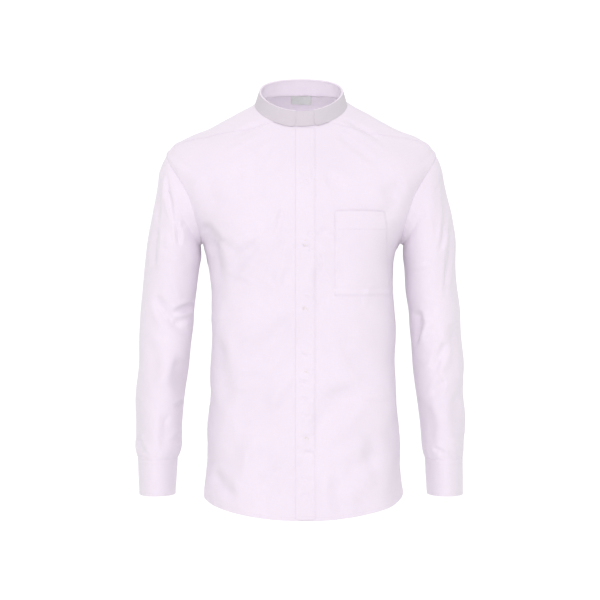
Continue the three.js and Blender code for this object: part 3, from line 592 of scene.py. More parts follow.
# %% [markdown]
# ## Seams
# The panels meet along seam lines on the body. An armhole is an ellipse in angle and ring. The
# yoke is the doubled panel over the shoulders: it is sewn on top of the fronts and the back, so
# here its edge laps a few millimetres over theirs. Each seam is a line of angles and rings.

# %% Seam lines
YOKE_FRONT = {"neck_angle": 46, "armhole_angle": 87.5, "bow": 3}
YOKE_BACK = {"middle_ring": 3.1, "armhole_angle": 102.5}
YOKE_LAP = {"angle": 1.0, "ring": 0.055, "at_neck": 1.6}
HEM = {"front_z": -753, "side_z": -711, "back_z": -766, "roundness": 1.25}
FRONT_EDGE_X = 8
NEAR_HEM_RING = ARMPIT_RING + 8.0


def pair(angle, ring):
    """Angles and rings side by side, as one array."""
    return np.stack(np.broadcast_arrays(angle, ring), axis=-1).astype(float)


def mirrored(places):
    """The same places on the wearer's right, with angles past 180."""
    return places * (-1, 1) + (360, 0)


def armhole_point(turn, side):
    """The seam of the sleeve: turn runs round it in radians, 0 on top and half pi in front."""
    angle = side * (90 - ARMHOLE["half_angle"] * np.sin(turn))
    return pair(angle, ARMHOLE["ring"] - ARMHOLE["half_height"] * np.cos(turn))


def front_turn(lap=0):
    """Where the yoke's front seam reaches the armhole."""
    drop = 90 - YOKE_FRONT["armhole_angle"] + lap * YOKE_LAP["angle"]
    return math.asin(drop / ARMHOLE["half_angle"])


def back_turn(lap=0):
    """Where the yoke's back seam reaches the armhole."""
    drop = YOKE_BACK["armhole_angle"] + lap * YOKE_LAP["angle"] - 90
    return -math.asin(drop / ARMHOLE["half_angle"])


def yoke_front_seam(t, side, lap=0):
    """From the neck to the armhole, bowed towards the middle of the front."""
    end_angle, end_ring = armhole_point(front_turn(lap), 1)
    start_angle = YOKE_FRONT["neck_angle"] - YOKE_LAP["at_neck"] * lap * YOKE_LAP["angle"]
    return pair(side * mix(end_angle, start_angle, (1 - t) ** YOKE_FRONT["bow"]), end_ring * t)


def yoke_back_seam(t, lap=0):
    """Across the back from armhole to armhole, a little lower in the middle."""
    end_angle, end_ring = armhole_point(back_turn(lap), 1)
    middle = YOKE_BACK["middle_ring"] + lap * YOKE_LAP["ring"]
    return pair(mix(end_angle, 360 - end_angle, t), mix(middle, end_ring, (2 * t - 1) ** 2))


def hem_ring(angle):
    """The shirt tail: low in front and behind, and high at the sides."""
    forward = np.cos(np.radians(angle))
    low = np.where(forward > 0, HEM["front_z"], HEM["back_z"])
    drop = 1 - (1 - np.abs(forward)) ** HEM["roundness"]
    return ARMPIT_RING + (ARMPIT_Z - mix(HEM["side_z"], low, drop)) / RING_PITCH


def front_edge(ring, x=FRONT_EDGE_X):
    """The angle near the middle of the front where a ring passes through x."""
    ring, x = np.broadcast_arrays(np.asarray(ring, dtype=float), np.asarray(x, dtype=float))
    return solve(lambda angle: smooth_body(angle, ring)[..., 0], x, -60, 60)


def cornered(first, second, corner, t):
    """An edge in two parts, the first up to the corner and the second after it."""
    t = np.asarray(t, dtype=float)
    early = first(np.clip(t / corner, 0, 1))
    late = second(np.clip((t - corner) / (1 - corner), 0, 1))
    return np.where((t <= corner)[..., None], early, late)


print("ring of the hem in front and at the side:", hem_ring(0).round(2), hem_ring(90).round(2))


# %% [markdown]
# ## Panels between four edges
# A panel is stretched between its four edges like a skin in a frame. This is a Coons patch: the
# blend of its left and right edges, plus the blend of its top and bottom, less the blend of its
# four corners. It is worked out in angle and ring, and only then put on the body.

# %% Coons patches on the body
def coons(left, right, top, bottom, across, down):
    """Sides plus ends minus corners."""
    row = down[:, None, None]
    column = across[None, :, None]
    left, right = left(down)[:, None], right(down)[:, None]
    top, bottom = top(across)[None], bottom(across)[None]
    corners = mix(mix(top[:, :1], top[:, -1:], column), mix(bottom[:, :1], bottom[:, -1:], column), row)
    return mix(left, right, column) + mix(top, bottom, row) - corners


def stops(*parts, edges=(0.6, 1.3, 2.4), size=400):
    """Even stops from 0 to 1, in parts that each have a share and a count, with some more close to
    both ends, given in millimetres of a line of this size."""
    total = sum(share for share, _ in parts)
    made = [0.0]
    for share, count in parts:
        made.extend(made[-1] + share / total * (np.arange(count) + 1) / count)
    near = np.array(edges) / size
    return np.unique(np.round(np.concatenate([made, near, 1 - near]), 6))


def distances(points):
    """The distance along the cloth of every point from the left, right, top and bottom edges."""
    across = lengths(points, 1)
    down = lengths(points, 0)
    return across, across[:, -1:] - across, down, down[-1:] - down


def ridge(distance, place, height, width):
    """A low rounded rise, height times exp(-((distance - place) / width)^2)."""
    return height * np.exp(-((distance - place) / width) ** 2)


def seam_puckers(distance, along, seed, height=0.35, reach=5.0, pitch=7.0):
    """Small ripples square to a seam, drawn up by its thread. They are nothing on the seam line,
    highest one reach from it, and nearly gone at six."""
    shape = distance / reach * np.exp(1 - distance / reach)
    return height * shape * wobble(seed, along, pitch)


def on_the_body(places, extra=None, outward=1):
    """Body points at these angles and rings, with the folds, and with a relief of their own that a
    function of the unfolded points gives."""
    angle, ring = np.moveaxis(places, -1, 0)
    flat = smooth_body(angle, ring)
    normals = grid_normals(flat, outward)
    height = body_relief(flat, angle, ring)
    if extra is not None:
        height = height + extra(flat)
    return raised(flat, normals, height)


print("stops on a line of 40 mm:", stops((1, 3), size=40))

# %% [markdown]
# ## The fronts
# Each front runs from the yoke seam down to the hem. Its inner edge follows the neck and then the
# middle, and its outer edge follows the armhole and then the side seam. Where the sleeve is sewn
# on, the turned edge lies under the cloth of the body and lifts it in a low ridge, with a row of
# stitches in a groove beside it.

# %% Fronts
ARMHOLE_SHARE, BELOW_SHARE, NECK_SHARE = 12, 14, 3
SEAM = {"ridge": 0.4, "ridge_place": 4.0, "ridge_width": 3.2, "stitch_place": 7.5}
HEM_TURN = 6.0
HEM_BAND = {"height": 0.35, "wave": 0.5, "wave_reach": 12, "wave_pitch": 13.0}
GROOVE = {"depth": 0.3, "width": 0.9}
SIDES = (("left", 1), ("right", -1))


def turned_hem(distance, along, seed):
    """A hem is the edge turned up twice and stitched: a slightly thicker band with a groove above
    it, which the stitching draws into short waves."""
    band = HEM_BAND["height"] * (1 - smooth((distance - HEM_TURN + 0.6) / 1.2))
    fade = np.exp(-((distance - HEM_TURN) / HEM_BAND["wave_reach"]) ** 2)
    drawn = HEM_BAND["wave"] * fade * wobble(seed, along, HEM_BAND["wave_pitch"])
    return band - ridge(distance, HEM_TURN, GROOVE["depth"], GROOVE["width"]) + drawn


def sewn_edge(distance, along, seed):
    """The ridge of the turned edge, the groove of its stitches, and their puckers."""
    rise = ridge(distance, SEAM["ridge_place"], SEAM["ridge"], SEAM["ridge_width"])
    groove = ridge(distance, SEAM["stitch_place"], GROOVE["depth"], GROOVE["width"])
    return (rise - groove) * smooth(distance / 2.0) + seam_puckers(distance, along, seed)


def front_places(side):
    """The Coons patch of one front, in angles and rings."""
    rows = ARMHOLE_SHARE + BELOW_SHARE
    corner = ARMHOLE_SHARE / rows
    neck_middle = float(front_edge(0.0))
    middle_hem = float(hem_ring(front_edge(NEAR_HEM_RING)))
    middle_edge = lambda ring: pair(front_edge(ring), ring)

    def inner(t):
        neck = lambda u: pair(mix(side * YOKE_FRONT["neck_angle"], neck_middle, u), 0 * u)
        edge = lambda u: middle_edge(u * ARMPIT_RING)
        lower = lambda u: middle_edge(mix(ARMPIT_RING, middle_hem, u))
        upper = lambda u: cornered(neck, edge, NECK_SHARE / ARMHOLE_SHARE, u)
        return cornered(upper, lower, corner, t)

    def outer(t):
        armhole = lambda u: armhole_point(mix(front_turn(), math.pi, u), side)
        seam = lambda u: pair(side * 90 + 0 * u, mix(ARMPIT_RING, hem_ring(90), u))
        return cornered(armhole, seam, corner, t)

    def hem(t):
        start = float(front_edge(middle_hem))
        angle = mix(start, side * 90, t)
        return pair(angle, hem_ring(angle))

    down = stops((ARMHOLE_SHARE, 96), (BELOW_SHARE, 160), size=740)
    across = stops((1, 86), size=250)
    return coons(inner, outer, lambda t: yoke_front_seam(t, side), hem, across, down)


for name, side in SIDES:
    def front_seams(flat, seed=20 + side):
        left, right, top, bottom = distances(flat)
        return sewn_edge(right, top, seed) + turned_hem(bottom, left, seed + 5)

    add_cloth(f"cloth_front_{name}", on_the_body(front_places(side), front_seams, side),
              [f"front_{name}"], outward=side)

# %% [markdown]
# ## The back and the yoke
# The back is one panel from side to side. The yoke lies over the top edges of the back and the
# fronts, so it is raised off them, and stitched close to its edge.

# %% Back
def back_places():
    """The Coons patch of the back, from the wearer's left side to the right."""
    share = 8
    corner = share / (share + BELOW_SHARE)

    def side_edge(t):
        armhole = lambda u: armhole_point(mix(back_turn(), -math.pi, u), 1)
        seam = lambda u: pair(90 + 0 * u, mix(ARMPIT_RING, hem_ring(90), u))
        return cornered(armhole, seam, corner, t)

    def hem(t):
        angle = mix(90, 270, t)
        return pair(angle, hem_ring(angle))

    down = stops((share, 64), (BELOW_SHARE, 150), size=690)
    across = stops((1, 144), size=450)
    return coons(side_edge, lambda t: mirrored(side_edge(t)), yoke_back_seam, hem, across, down)


def back_seams(flat):
    """Sewn edges on both sides, and the hem below."""
    left, right, top, bottom = distances(flat)
    return sewn_edge(left, top, 31) + sewn_edge(right, top, 32) + turned_hem(bottom, left, 33)


add_cloth("cloth_back", on_the_body(back_places(), back_seams), ["back"])

# %% Yoke
YOKE_RISE = {"edge": 0.5, "middle": 1.0, "over": 3.0}
YOKE_STITCH = {"place": 2.2, "depth": 0.15, "width": 0.8, "pucker": 0.2}


def yoke_places():
    """From the neck outwards, and round from one front seam to the other."""
    armhole_share, back_share = 5, 24
    total = 2 * armhole_share + back_share
    first = armhole_share / total
    second = (armhole_share + back_share) / total
    turns = lambda u: mix(front_turn(1), back_turn(1), u)

    def outer(t):
        left_armhole = lambda u: armhole_point(turns(u), 1)
        right_armhole = lambda u: mirrored(armhole_point(turns(1 - u), 1))
        start = lambda u: cornered(left_armhole, lambda w: yoke_back_seam(w, 1), first / second, u)
        return cornered(start, right_armhole, second, t)

    neck = YOKE_FRONT["neck_angle"] - YOKE_LAP["at_neck"] * YOKE_LAP["angle"]
    across = stops((armhole_share, 40), (back_share, 150), (armhole_share, 40), size=700)
    down = stops((1, 54), size=130)
    return coons(
        lambda t: yoke_front_seam(t, 1, 1),
        lambda t: mirrored(yoke_front_seam(t, 1, 1)),
        lambda t: pair(mix(neck, 360 - neck, t), 0 * t),
        outer, across, down)


def yoke_seams(flat):
    """Raised by more than the cloth's thickness in the middle and by less at the edges, with a
    stitched groove along them."""
    left, right, top, bottom = distances(flat)
    inside = smooth(np.minimum(np.minimum(left, right), bottom) / YOKE_RISE["over"])
    height = mix(YOKE_RISE["edge"], YOKE_RISE["middle"], inside) * smooth(top / 3)
    for edge, along, seed in ((left, top, 41), (right, top, 42), (bottom, left, 43)):
        height = height - ridge(edge, YOKE_STITCH["place"], YOKE_STITCH["depth"], YOKE_STITCH["width"])
        height = height + seam_puckers(edge, along, seed, height=YOKE_STITCH["pucker"])
    return height


add_cloth("cloth_yoke", on_the_body(yoke_places(), yoke_seams), ["yoke"])

# %% [markdown]
# ## The front strip
# The buttons are hidden under a strip of doubled cloth, the wearer's left over the right. Its left
# edge is a fold and hangs free, and its right edge is stitched down. Cloth over a button stands up
# a little and is drawn in beside it, which is all that the photograph shows of the buttons.

# %% A point of the cloth from its place in the photograph
def ring_at_height(angle, z):
    """The ring that passes through a height at these angles."""
    last = len(rings) - 1
    return solve(lambda ring: -smooth_body(angle, ring)[..., 2], -np.asarray(z, dtype=float), 0, last)


def body_address(x, z, behind=False):
    """Angle and ring of the points at x and z, in front or behind, by turns of two searches."""
    x, z = np.broadcast_arrays(np.asarray(x, dtype=float), np.asarray(z, dtype=float))
    facing = (lambda turn: 180 - turn) if behind else (lambda turn: turn)
    turn = np.zeros(x.shape)
    for _ in range(4):
        ring = ring_at_height(facing(turn), z)
        turn = solve(lambda value: smooth_body(facing(value), ring)[..., 0], x, -89, 89)
    return facing(turn), ring


def patch_places(left_x, right_x, top_z, bottom_z, across, down, behind=False):
    """Angles and rings of a patch between straight edges, with columns even in angle."""
    left, _ = body_address(left_x, mix(top_z, bottom_z[0], down), behind)
    right, _ = body_address(right_x, mix(top_z, bottom_z[-1], down), behind)
    angle = mix(left[:, None], right[:, None], across[None])
    z = mix(top_z, bottom_z[None], down[:, None])
    return pair(angle, ring_at_height(angle, z))


print("angle and ring at x 60, z -200:", [round(float(value), 2) for value in body_address(60, -200)])

# %% Front strip
STRIP = {"left": -10.5, "right": 25.5, "top_z": -50, "lift": 0.9, "crown": 0.9, "stitch": 2.2}
BUTTON_BUMP = {"height": 0.6, "flat": 4, "slope": 7}
BUTTON_Z = -142 - 117 * np.arange(5)
BUTTON_X = (STRIP["left"] + STRIP["right"]) / 2
STRIP_CREASES = np.array([
    # x, z at the start, the middle and the end, then width and depth
    (-2, -126, 2, -132, 4, -140, 3.5, 1.2),
    (0, -147, 8, -151, 17, -144, 3.5, 1.7),
    (17, -118, 21, -132, 20, -148, 3.5, 1.2),
    (10, -238, 17, -243, 23, -254, 4, 1.4),
    (-1, -263, 6, -266, 18, -259, 3.5, 1.8),
    (12, -276, 18, -272, 24, -277, 3.5, 1.0),
    (4, -352, 13, -358, 22, -371, 4, 1.6),
    (-4, -378, 4, -375, 14, -380, 3.5, 1.2),
    (-2, -456, 6, -461, 20, -457, 4, 1.7),
    (4, -484, 12, -489, 23, -487, 3.5, 1.3),
    (-5, -502, 6, -509, 22, -505, 4, 1.9),
    (-2, -534, 8, -539, 22, -538, 4, 1.8),
    (-5, -562, 6, -569, 21, -566, 4, 1.7),
    (-2, -600, 10, -606, 23, -603, 4.5, 1.9),
    (4, -636, 12, -632, 23, -638, 4, 1.3),
    (-4, -676, 8, -682, 21, -678, 4.5, 1.7),
    (-2, -714, 8, -709, 22, -716, 4.5, 1.5),
])


def hem_height(x):
    """The height of the hem at x on the front."""
    return ARMPIT_Z - RING_PITCH * (hem_ring(front_edge(NEAR_HEM_RING, x)) - ARMPIT_RING)


def strip_lift(flat):
    """A low crown between edges that are pressed down, most where they are stitched, and a rise
    over each button."""
    left, right, _, bottom = distances(flat)
    across = left / (left + right)
    x, _, z = np.moveaxis(flat, -1, 0)
    height = STRIP["lift"] + STRIP["crown"] * (1 - np.abs(2 * across - 1) ** 3)
    height = height - 0.1 * (1 - smooth(left / 2.5)) - 0.5 * (1 - smooth(right / 4.5))
    height = height - 0.5 * (1 - smooth(bottom / 2.5))
    for button_z in BUTTON_Z:
        off = np.hypot(x - BUTTON_X, z - button_z)
        bump = 1 - smooth((off - BUTTON_BUMP["flat"]) / BUTTON_BUMP["slope"])
        height = height + BUTTON_BUMP["height"] * bump
    height = height - fold_depth(STRIP_CREASES, x, z) * smooth(left / 4) * smooth(right / 4)
    height = height - ridge(right, STRIP["stitch"], 0.3, 0.8)
    height = height + 0.4 * seam_puckers(right, z + 800, 51)
    height = height + 0.3 * wobble(52, 800 + z, 21.0) * smooth(left / 6)
    return height - ridge(bottom, HEM_TURN, GROOVE["depth"], GROOVE["width"])


strip_across = stops((1, 24), edges=(0.5, 1.1, 1.8, 2.6), size=36)
strip_down = stops((1, 330), size=700)
strip_bottom = hem_height(mix(STRIP["left"], STRIP["right"], strip_across)) + 0.4
strip_places = patch_places(STRIP["left"], STRIP["right"], STRIP["top_z"], strip_bottom,
                            strip_across, strip_down)
add_cloth("cloth_front_strip", on_the_body(strip_places, strip_lift), ["front_strip"])

# %% [markdown]
# ## The chest pocket
# A patch pocket is one piece of cloth with its edges turned under, stitched on three sides, and a
# deep hem across its mouth. The mouth stands off the chest a little. It takes the folds of the
# cloth below it, because the same relief is added to both.

# %% Pocket
POCKET = {"inner_x": 59.5, "top_x": 150, "bottom_x": 160, "top_z": -202, "bottom_z": -353}
POCKET_HEM, POCKET_STITCH = 33.0, 2.0


def pocket_lift(flat):
    """Edges pressed down by their stitches, thick just inside them, with a loose mouth and a step
    where the hem ends. Near the bottom the cloth sags in a shallow trough."""
    left, right, top, bottom = distances(flat)
    edge = np.minimum(np.minimum(left, right), bottom)
    across = left / (left + right)
    down = top / (top + bottom)
    height = 0.95 - 0.55 * (1 - smooth(edge / 4)) + 0.2 * (1 - smooth((edge - 5) / 2))
    height = height + 1.5 * np.sin(np.pi * across) * (1 - down) ** 2
    height = height + 0.45 * (1 - smooth((top - POCKET_HEM + 0.7) / 1.4))
    height = height - ridge(top, POCKET_HEM, GROOVE["depth"], GROOVE["width"])
    height = height - ridge(edge, POCKET_STITCH, 0.25, 0.8)
    height = height - smooth((top - 50) / 40) * ridge(bottom, 12, 0.9, 3.5)
    for distance, along, seed in ((left, top, 61), (right, top, 62), (bottom, left, 63)):
        height = height + seam_puckers(distance, along, seed, height=0.22, reach=4)
    return height


pocket_across = stops((1, 54), size=100)
pocket_down = stops((1, 84), size=150)
pocket_bottom = np.full(len(pocket_across), float(POCKET["bottom_z"]))
pocket_places = patch_places(
    POCKET["inner_x"], mix(POCKET["top_x"], POCKET["bottom_x"], pocket_down),
    POCKET["top_z"], pocket_bottom, pocket_across, pocket_down)
add_cloth("cloth_chest_pocket", on_the_body(pocket_places, pocket_lift), ["chest_pocket"])

# %% [markdown]
# ## The neck label
# Inside the back of the neck a short satin ribbon is sewn on by its edges. It is left blank. Satin
# has long threads on its face, so its gloss is stronger than cotton's.

# %% Label
label_satin = weave_material("label_satin", (0.76, 0.80, 0.76), (0.70, 0.74, 0.70),
                             roughness=0.45, sheen=0.05, bump=0.25, pitch=0.00025)
LABEL = {"half_width": 18, "top_z": 19.4, "bottom_z": 5.4, "below": 0.35, "slack": 0.25}
label_across = stops((1, 24), edges=(0.6,), size=36)
label_down = stops((1, 12), edges=(0.6,), size=20)
label_bottom = np.full(len(label_across), LABEL["bottom_z"])
label_places = patch_places(-LABEL["half_width"], LABEL["half_width"], LABEL["top_z"], label_bottom,
                            label_across, label_down, behind=True)


def label_lift(flat):
    """Just inside the yoke, a little slack between its ends."""
    left, right, _, _ = distances(flat)
    return -LABEL["below"] - LABEL["slack"] * np.sin(np.pi * left / (left + right))


def pointing_out(flat, normals):
    """Normals of the body, turned round where they point into it."""
    return normals * np.sign((normals * (flat * (1, 1, 0))).sum(axis=-1, keepdims=True))


label_angle, label_ring = np.moveaxis(label_places, -1, 0)
label_flat = smooth_body(label_angle, label_ring)
label_height = label_lift(label_flat) + body_relief(label_flat, label_angle, label_ring)
label_normals = pointing_out(label_flat, grid_normals(label_flat))
add_cloth("cloth_neck_label", raised(label_flat, label_normals, label_height), ["neck_label"],
          material=label_satin, thickness=0.3)

# %% [markdown]
# ## The collar
# A tab collar has three parts: a stand sewn to the neck, a fall folded over it that stops short on
# both sides of the middle, and a stiff tab that slips in between them and shows in the gap. All
# are bands between the neck seam and the top edge, so one function of the angle round the neck,
# the height and the distance outwards places them all.

# %% Bands round the neck
COLLAR_TOP = {"half_width": 75, "front": 58, "back": 46,
              "front_z": -19.5, "side_z": 22, "back_z": 48}
COLLAR = {"lift": 0.4, "height": 30, "length": 430, "corner": 11, "flare": 0.4,
          "lowest": -0.03, "front_drop": 0.03, "wall": 0.9}
GAP = {"middle": 6.5, "half": 16.5, "tab_half": 34}


def collar_top(angle):
    """The top edge: an ellipse in plan, high behind and low in front."""
    sine, cosine = np.sin(np.radians(angle)), np.cos(np.radians(angle))
    depth = np.where(cosine > 0, COLLAR_TOP["front"], COLLAR_TOP["back"])
    radius = 1 / np.hypot(sine / COLLAR_TOP["half_width"], cosine / depth)
    forward = radius * cosine / depth
    tilt = (COLLAR_TOP["front_z"] - COLLAR_TOP["back_z"]) / 2
    dip = (COLLAR_TOP["front_z"] + COLLAR_TOP["back_z"]) / 2 - COLLAR_TOP["side_z"]
    z = COLLAR_TOP["side_z"] + tilt * forward + dip * forward ** 2
    return np.stack([radius * sine, -radius * cosine, z], axis=-1)


def neck_seam(angle):
    """The neck edge of the body, lifted a little."""
    return smooth_body(angle, np.zeros(np.shape(angle))) + (0, 0, COLLAR["lift"])


def collar_point(angle, height, out, lift=0):
    """From the neck seam straight to the top edge, then outwards, square to the seam, and up."""
    angle, height, out = np.broadcast_arrays(angle, height, out)
    along = neck_seam(angle + 0.5) - neck_seam(angle - 0.5)
    outward = np.stack([along[..., 1], -along[..., 0], 0 * along[..., 0]], axis=-1)
    outward /= np.linalg.norm(outward, axis=-1, keepdims=True)
    point = mix(neck_seam(angle), collar_top(angle), height[..., None]) + outward * out[..., None]
    point[..., 2] += lift
    return point


def angle_at_neck(x):
    """The angle where the front of the neck seam passes through x."""
    return float(solve(lambda angle: neck_seam(angle)[..., 0], np.array(float(x)), -80, 80))


def collar_waves(angle, height, strength=0.35):
    """A stiff band still waves a little round the neck, most at its free edge."""
    sines = np.sin(np.radians(3 * angle + 40)) + 0.6 * np.sin(np.radians(7 * angle))
    return strength * sines * height


print("top of the collar in front and behind, z", collar_top(np.array([0, 180]))[:, 2].round(1))

# %% Stand
STAND = {"half_gap": 0.2, "stitch": 2.4}
stand_height = stops((1, 14), edges=(0.5, 1.2, 2.0), size=30)[::-1, None]
stand_angle = mix(angle_at_neck(FRONT_EDGE_X + STAND["half_gap"]),
                  angle_at_neck(FRONT_EDGE_X - STAND["half_gap"]) + 360, stops((1, 190), size=440))
stand_out = (collar_waves(stand_angle, stand_height, 0.15)
             - ridge(stand_height * COLLAR["height"], STAND["stitch"], 0.25, 0.8))
add_cloth("cloth_collar_stand", collar_point(stand_angle, stand_height, stand_out),
          ["collar_stand"], material=shirting, thickness=COLLAR["wall"],
          bevel=0.2)

# %% Tab
TAB = {"out": 1.35, "bottom": 0.01, "top": 1.05, "wall": 0.7}
tab_share = stops((1, 16), edges=(0.4, 0.9, 1.6), size=30)[::-1, None]
tab_angle = mix(angle_at_neck(GAP["middle"] - GAP["tab_half"]),
                angle_at_neck(GAP["middle"] + GAP["tab_half"]),
                stops((1, 40), edges=(0.5, 1.2), size=70))
tab_height = mix(TAB["bottom"], TAB["top"], tab_share)
add_cloth("cloth_collar_tab", collar_point(tab_angle, tab_height, TAB["out"]),
          ["collar_tab"], material=tab_cloth, thickness=TAB["wall"],
          bevel=0.2)

# %% [markdown]
# The fall is one profile carried round the neck. The profile climbs from the lower edge to the
# top, goes round the fold in a half circle and ends a little way down the inside. At both ends its
# lower edge rises in a quarter circle, which makes the rounded corners in front.

# %% Fall
FALL_OUT = 2.2
FALL_STITCH = 4.5
FOLD_LIFT = 0.4
LIP = {"out": -0.95, "depth": 0.03}
fold_radius = (FALL_OUT - LIP["out"]) / 2
fold_middle = (FALL_OUT + LIP["out"]) / 2
hang = stops((1, 14), edges=(0.5, 1.1, 1.9, 3.0), size=30)[:, None]
fold_turn = np.linspace(0, math.pi, 9)[1:, None]
lip = np.linspace(0, 1, 4)[1:, None]
corner_t = COLLAR["corner"] / COLLAR["length"] * (1 - np.cos(np.linspace(0, math.pi / 2, 12)))
fall_t = np.unique(np.concatenate([corner_t, np.linspace(0.03, 0.97, 170), 1 - corner_t]))
fall_angle = mix(angle_at_neck(GAP["middle"] + GAP["half"]),
                 angle_at_neck(GAP["middle"] - GAP["half"]) + 360, fall_t)
from_end = np.minimum(fall_t, 1 - fall_t) * COLLAR["length"]
in_corner = np.clip(1 - from_end / COLLAR["corner"], 0, 1)
in_front = np.clip(np.cos(np.radians(fall_angle)), 0, 1)
lowest = COLLAR["lowest"] - COLLAR["front_drop"] * in_front
lowest = lowest + COLLAR["corner"] * (1 - np.sqrt(1 - in_corner ** 2)) / COLLAR["height"]

column_height = mix(lowest, 1.0, hang)
flare = COLLAR["flare"] * (1 - column_height) ** 2
stitched = ridge((column_height - lowest) * COLLAR["height"], FALL_STITCH, 0.28, 0.8)
outer_out = FALL_OUT + flare - stitched + collar_waves(fall_angle, 1 - column_height)
outer_part = collar_point(fall_angle, column_height, outer_out)
fold_part = collar_point(fall_angle, 1, fold_middle + fold_radius * np.cos(fold_turn),
                         lift=FOLD_LIFT + fold_radius * np.sin(fold_turn))
lip_part = collar_point(fall_angle, 1 - LIP["depth"] * lip, LIP["out"])
fall_points = np.concatenate([outer_part, fold_part, lip_part])[::-1]
add_cloth("cloth_collar_fall", fall_points, ["collar_fall"],
          material=collar_cloth, thickness=COLLAR["wall"],
          bevel=0.2)

# %% [markdown]
# ## The sleeves
# A sleeve is a tube whose rings tilt less and less: at the shoulder they are nearly upright, and
# from the armpit down they are level. The head leaves the armhole seam on a short curve. The folds
# are given one by one again: long ones that hang from the shoulder, and short deep ones inside the
# elbow, where the arm of the photograph bends a little.

# %% Rings of the sleeves
SLEEVE_HEAD = np.array([
    # outer x, outer z, inner x, inner z, front, back
    (261, -128, 187, -261, 75, 77),
    (267.5, -168, 186, -267, 79, 80),
    (275, -212, 185.5, -274, 80, 80),
    (282, -252, 185.5, -284, 80, 79),
])
SLEEVE_TUBE = np.array([
    # z, inner x, outer x of the right sleeve, outer x of the left sleeve, front, back
    (-300, 188, 288.5, 285, 78, 78),
    (-340, 192.5, 293, 288, 73, 78),
    (-379, 199, 296.5, 292, 70, 77),
    (-416, 199.5, 297, 294, 71, 72),
    (-471, 204, 299, 297.5, 75, 64),
    (-526, 211, 302.5, 298, 77, 53),
    (-581, 219, 304, 298, 77, 41),
    (-622, 223, 302.5, 297, 75, 31),
    (-650, 228.5, 299, 295, 71, 23),
])
LAST_PLACE = len(SLEEVE_HEAD) + len(SLEEVE_TUBE)
print("rings of a sleeve", LAST_PLACE)

# %% Folds of the sleeves
RIGHT_SLEEVE_FOLDS = [
    # x, z at the start, the middle and the end, then width and depth; a minus depth is a ridge
    (-245, -105, -259, -162, -261, -235, 5, 3),
    (-261, -225, -267, -263, -270, -309, 6, 2.4),
    (-247, -112, -241, -165, -227, -232, 4.6, 2.8),
    (-240, -104, -226, -142, -208, -176, 4.6, 2.0),
    (-232, -150, -224, -176, -210, -204, 6, -1.2),
    (-227, -214, -222, -238, -219, -268, 5, 2.2),
    (-196, -368, -210, -374, -236, -385, 6, 3.6),
    (-268, -348, -247, -381, -205, -426, 10, 4),
    (-206, -392, -216, -396, -230, -410, 6, 1.6),
    (-219, -459, -218, -502, -223, -543, 14, 4),
    (-198, -540, -212, -549, -236, -556, 6, 2.2),
    (-208, -602, -220, -610, -240, -622, 6, 2.0),
    (-298, -604, -290, -632, -272, -646, 6, 2.8),
    (-280, -420, -268, -470, -262, -540, 12, 2),
    (-250, -560, -246, -600, -252, -640, 10, 2.2),
    (-236, -440, -250, -490, -276, -530, 14, -2),
]
LEFT_SLEEVE_FOLDS = [
    (240, -98, 228, -128, 212, -160, 5, 2.4),
    (256, -125, 262, -205, 246, -284, 5.5, 3.0),
    (270, -200, 269, -274, 258, -362, 5.5, 2.8),
    (214, -376, 210, -415, 209, -448, 9, 4.8),
    (238, -394, 224, -419, 211, -446, 7, -3),
    (264, -434, 251, -462, 236, -492, 8, 3.4),
    (258, -500, 247, -520, 232, -534, 7, 3),
    (240, -626, 251, -634, 264, -646, 5, 2.4),
    (276, -632, 287, -640, 295, -647, 5, 2),
    (278, -390, 276, -450, 268, -520, 12, 2.2),
    (222, -540, 232, -580, 236, -636, 11, 2.4),
    (286, -520, 280, -570, 284, -620, 10, 1.8),
]
SLEEVE_BACK_FOLDS = [
    (284, -350, 248, -372, 206, -388, 12, 5),
    (288, -384, 252, -398, 216, -404, 9, 3),
    (238, -180, 244, -250, 236, -330, 13, 4.6),
    (268, -190, 272, -260, 266, -330, 12, 3),
    (262, -430, 252, -500, 250, -570, 13, 4),
    (286, -440, 284, -520, 290, -590, 11, 2.6),
    (240, -560, 250, -600, 246, -646, 9, 2.4),
    (222, -470, 226, -530, 236, -590, 11, 2.4),
]
sleeve_folds = [*RIGHT_SLEEVE_FOLDS, *LEFT_SLEEVE_FOLDS, *SLEEVE_BACK_FOLDS]
print("folds by hand on the sleeves", len(sleeve_folds))


# %% The smooth form of a sleeve
def sleeve_ring(side, turn, place):
    """A tilted ellipse: x and z go from the inner to the outer side as the turn's cosine, and y
    goes forward and back as its sine. Place 0 is the first ring of the table."""
    outer_x = SLEEVE_TUBE[:, 3] if side > 0 else SLEEVE_TUBE[:, 2]
    level = np.column_stack([outer_x, SLEEVE_TUBE[:, 0], SLEEVE_TUBE[:, 1], SLEEVE_TUBE[:, 0],
                             SLEEVE_TUBE[:, 4], SLEEVE_TUBE[:, 5]])
    outer_x, outer_z, inner_x, inner_z, front, back = (
        curve_through(column, place) for column in np.vstack([SLEEVE_HEAD, level]).T)
    outward = (1 + np.cos(np.radians(turn))) / 2
    forward = np.sin(np.radians(turn))
    depth = np.where(forward > 0, front, back)
    return np.stack([side * mix(inner_x, outer_x, outward), -forward * depth,
                     mix(inner_z, outer_z, outward)], axis=-1)


def smooth_sleeve(side, turn, place):
    """From the armhole at place 0 to the first ring at place 1 on a parabola that ends along the
    tube, and then through the rings."""
    turn, place = np.broadcast_arrays(np.asarray(turn, dtype=float), np.asarray(place, dtype=float))
    tube = sleeve_ring(side, turn, np.clip(place - 1, 0, None))
    start = smooth_body(*np.moveaxis(armhole_point(np.radians(turn), side), -1, 0))
    end = sleeve_ring(side, turn, 0 * turn)
    slope = (sleeve_ring(side, turn, 1 + 0 * turn) - start) / 2
    t = np.clip(place, 0, 1)[..., None]
    head = start + (end - start) * t + (end - start - slope) * t * (1 - t)
    return np.where((place < 1)[..., None], head, tube)


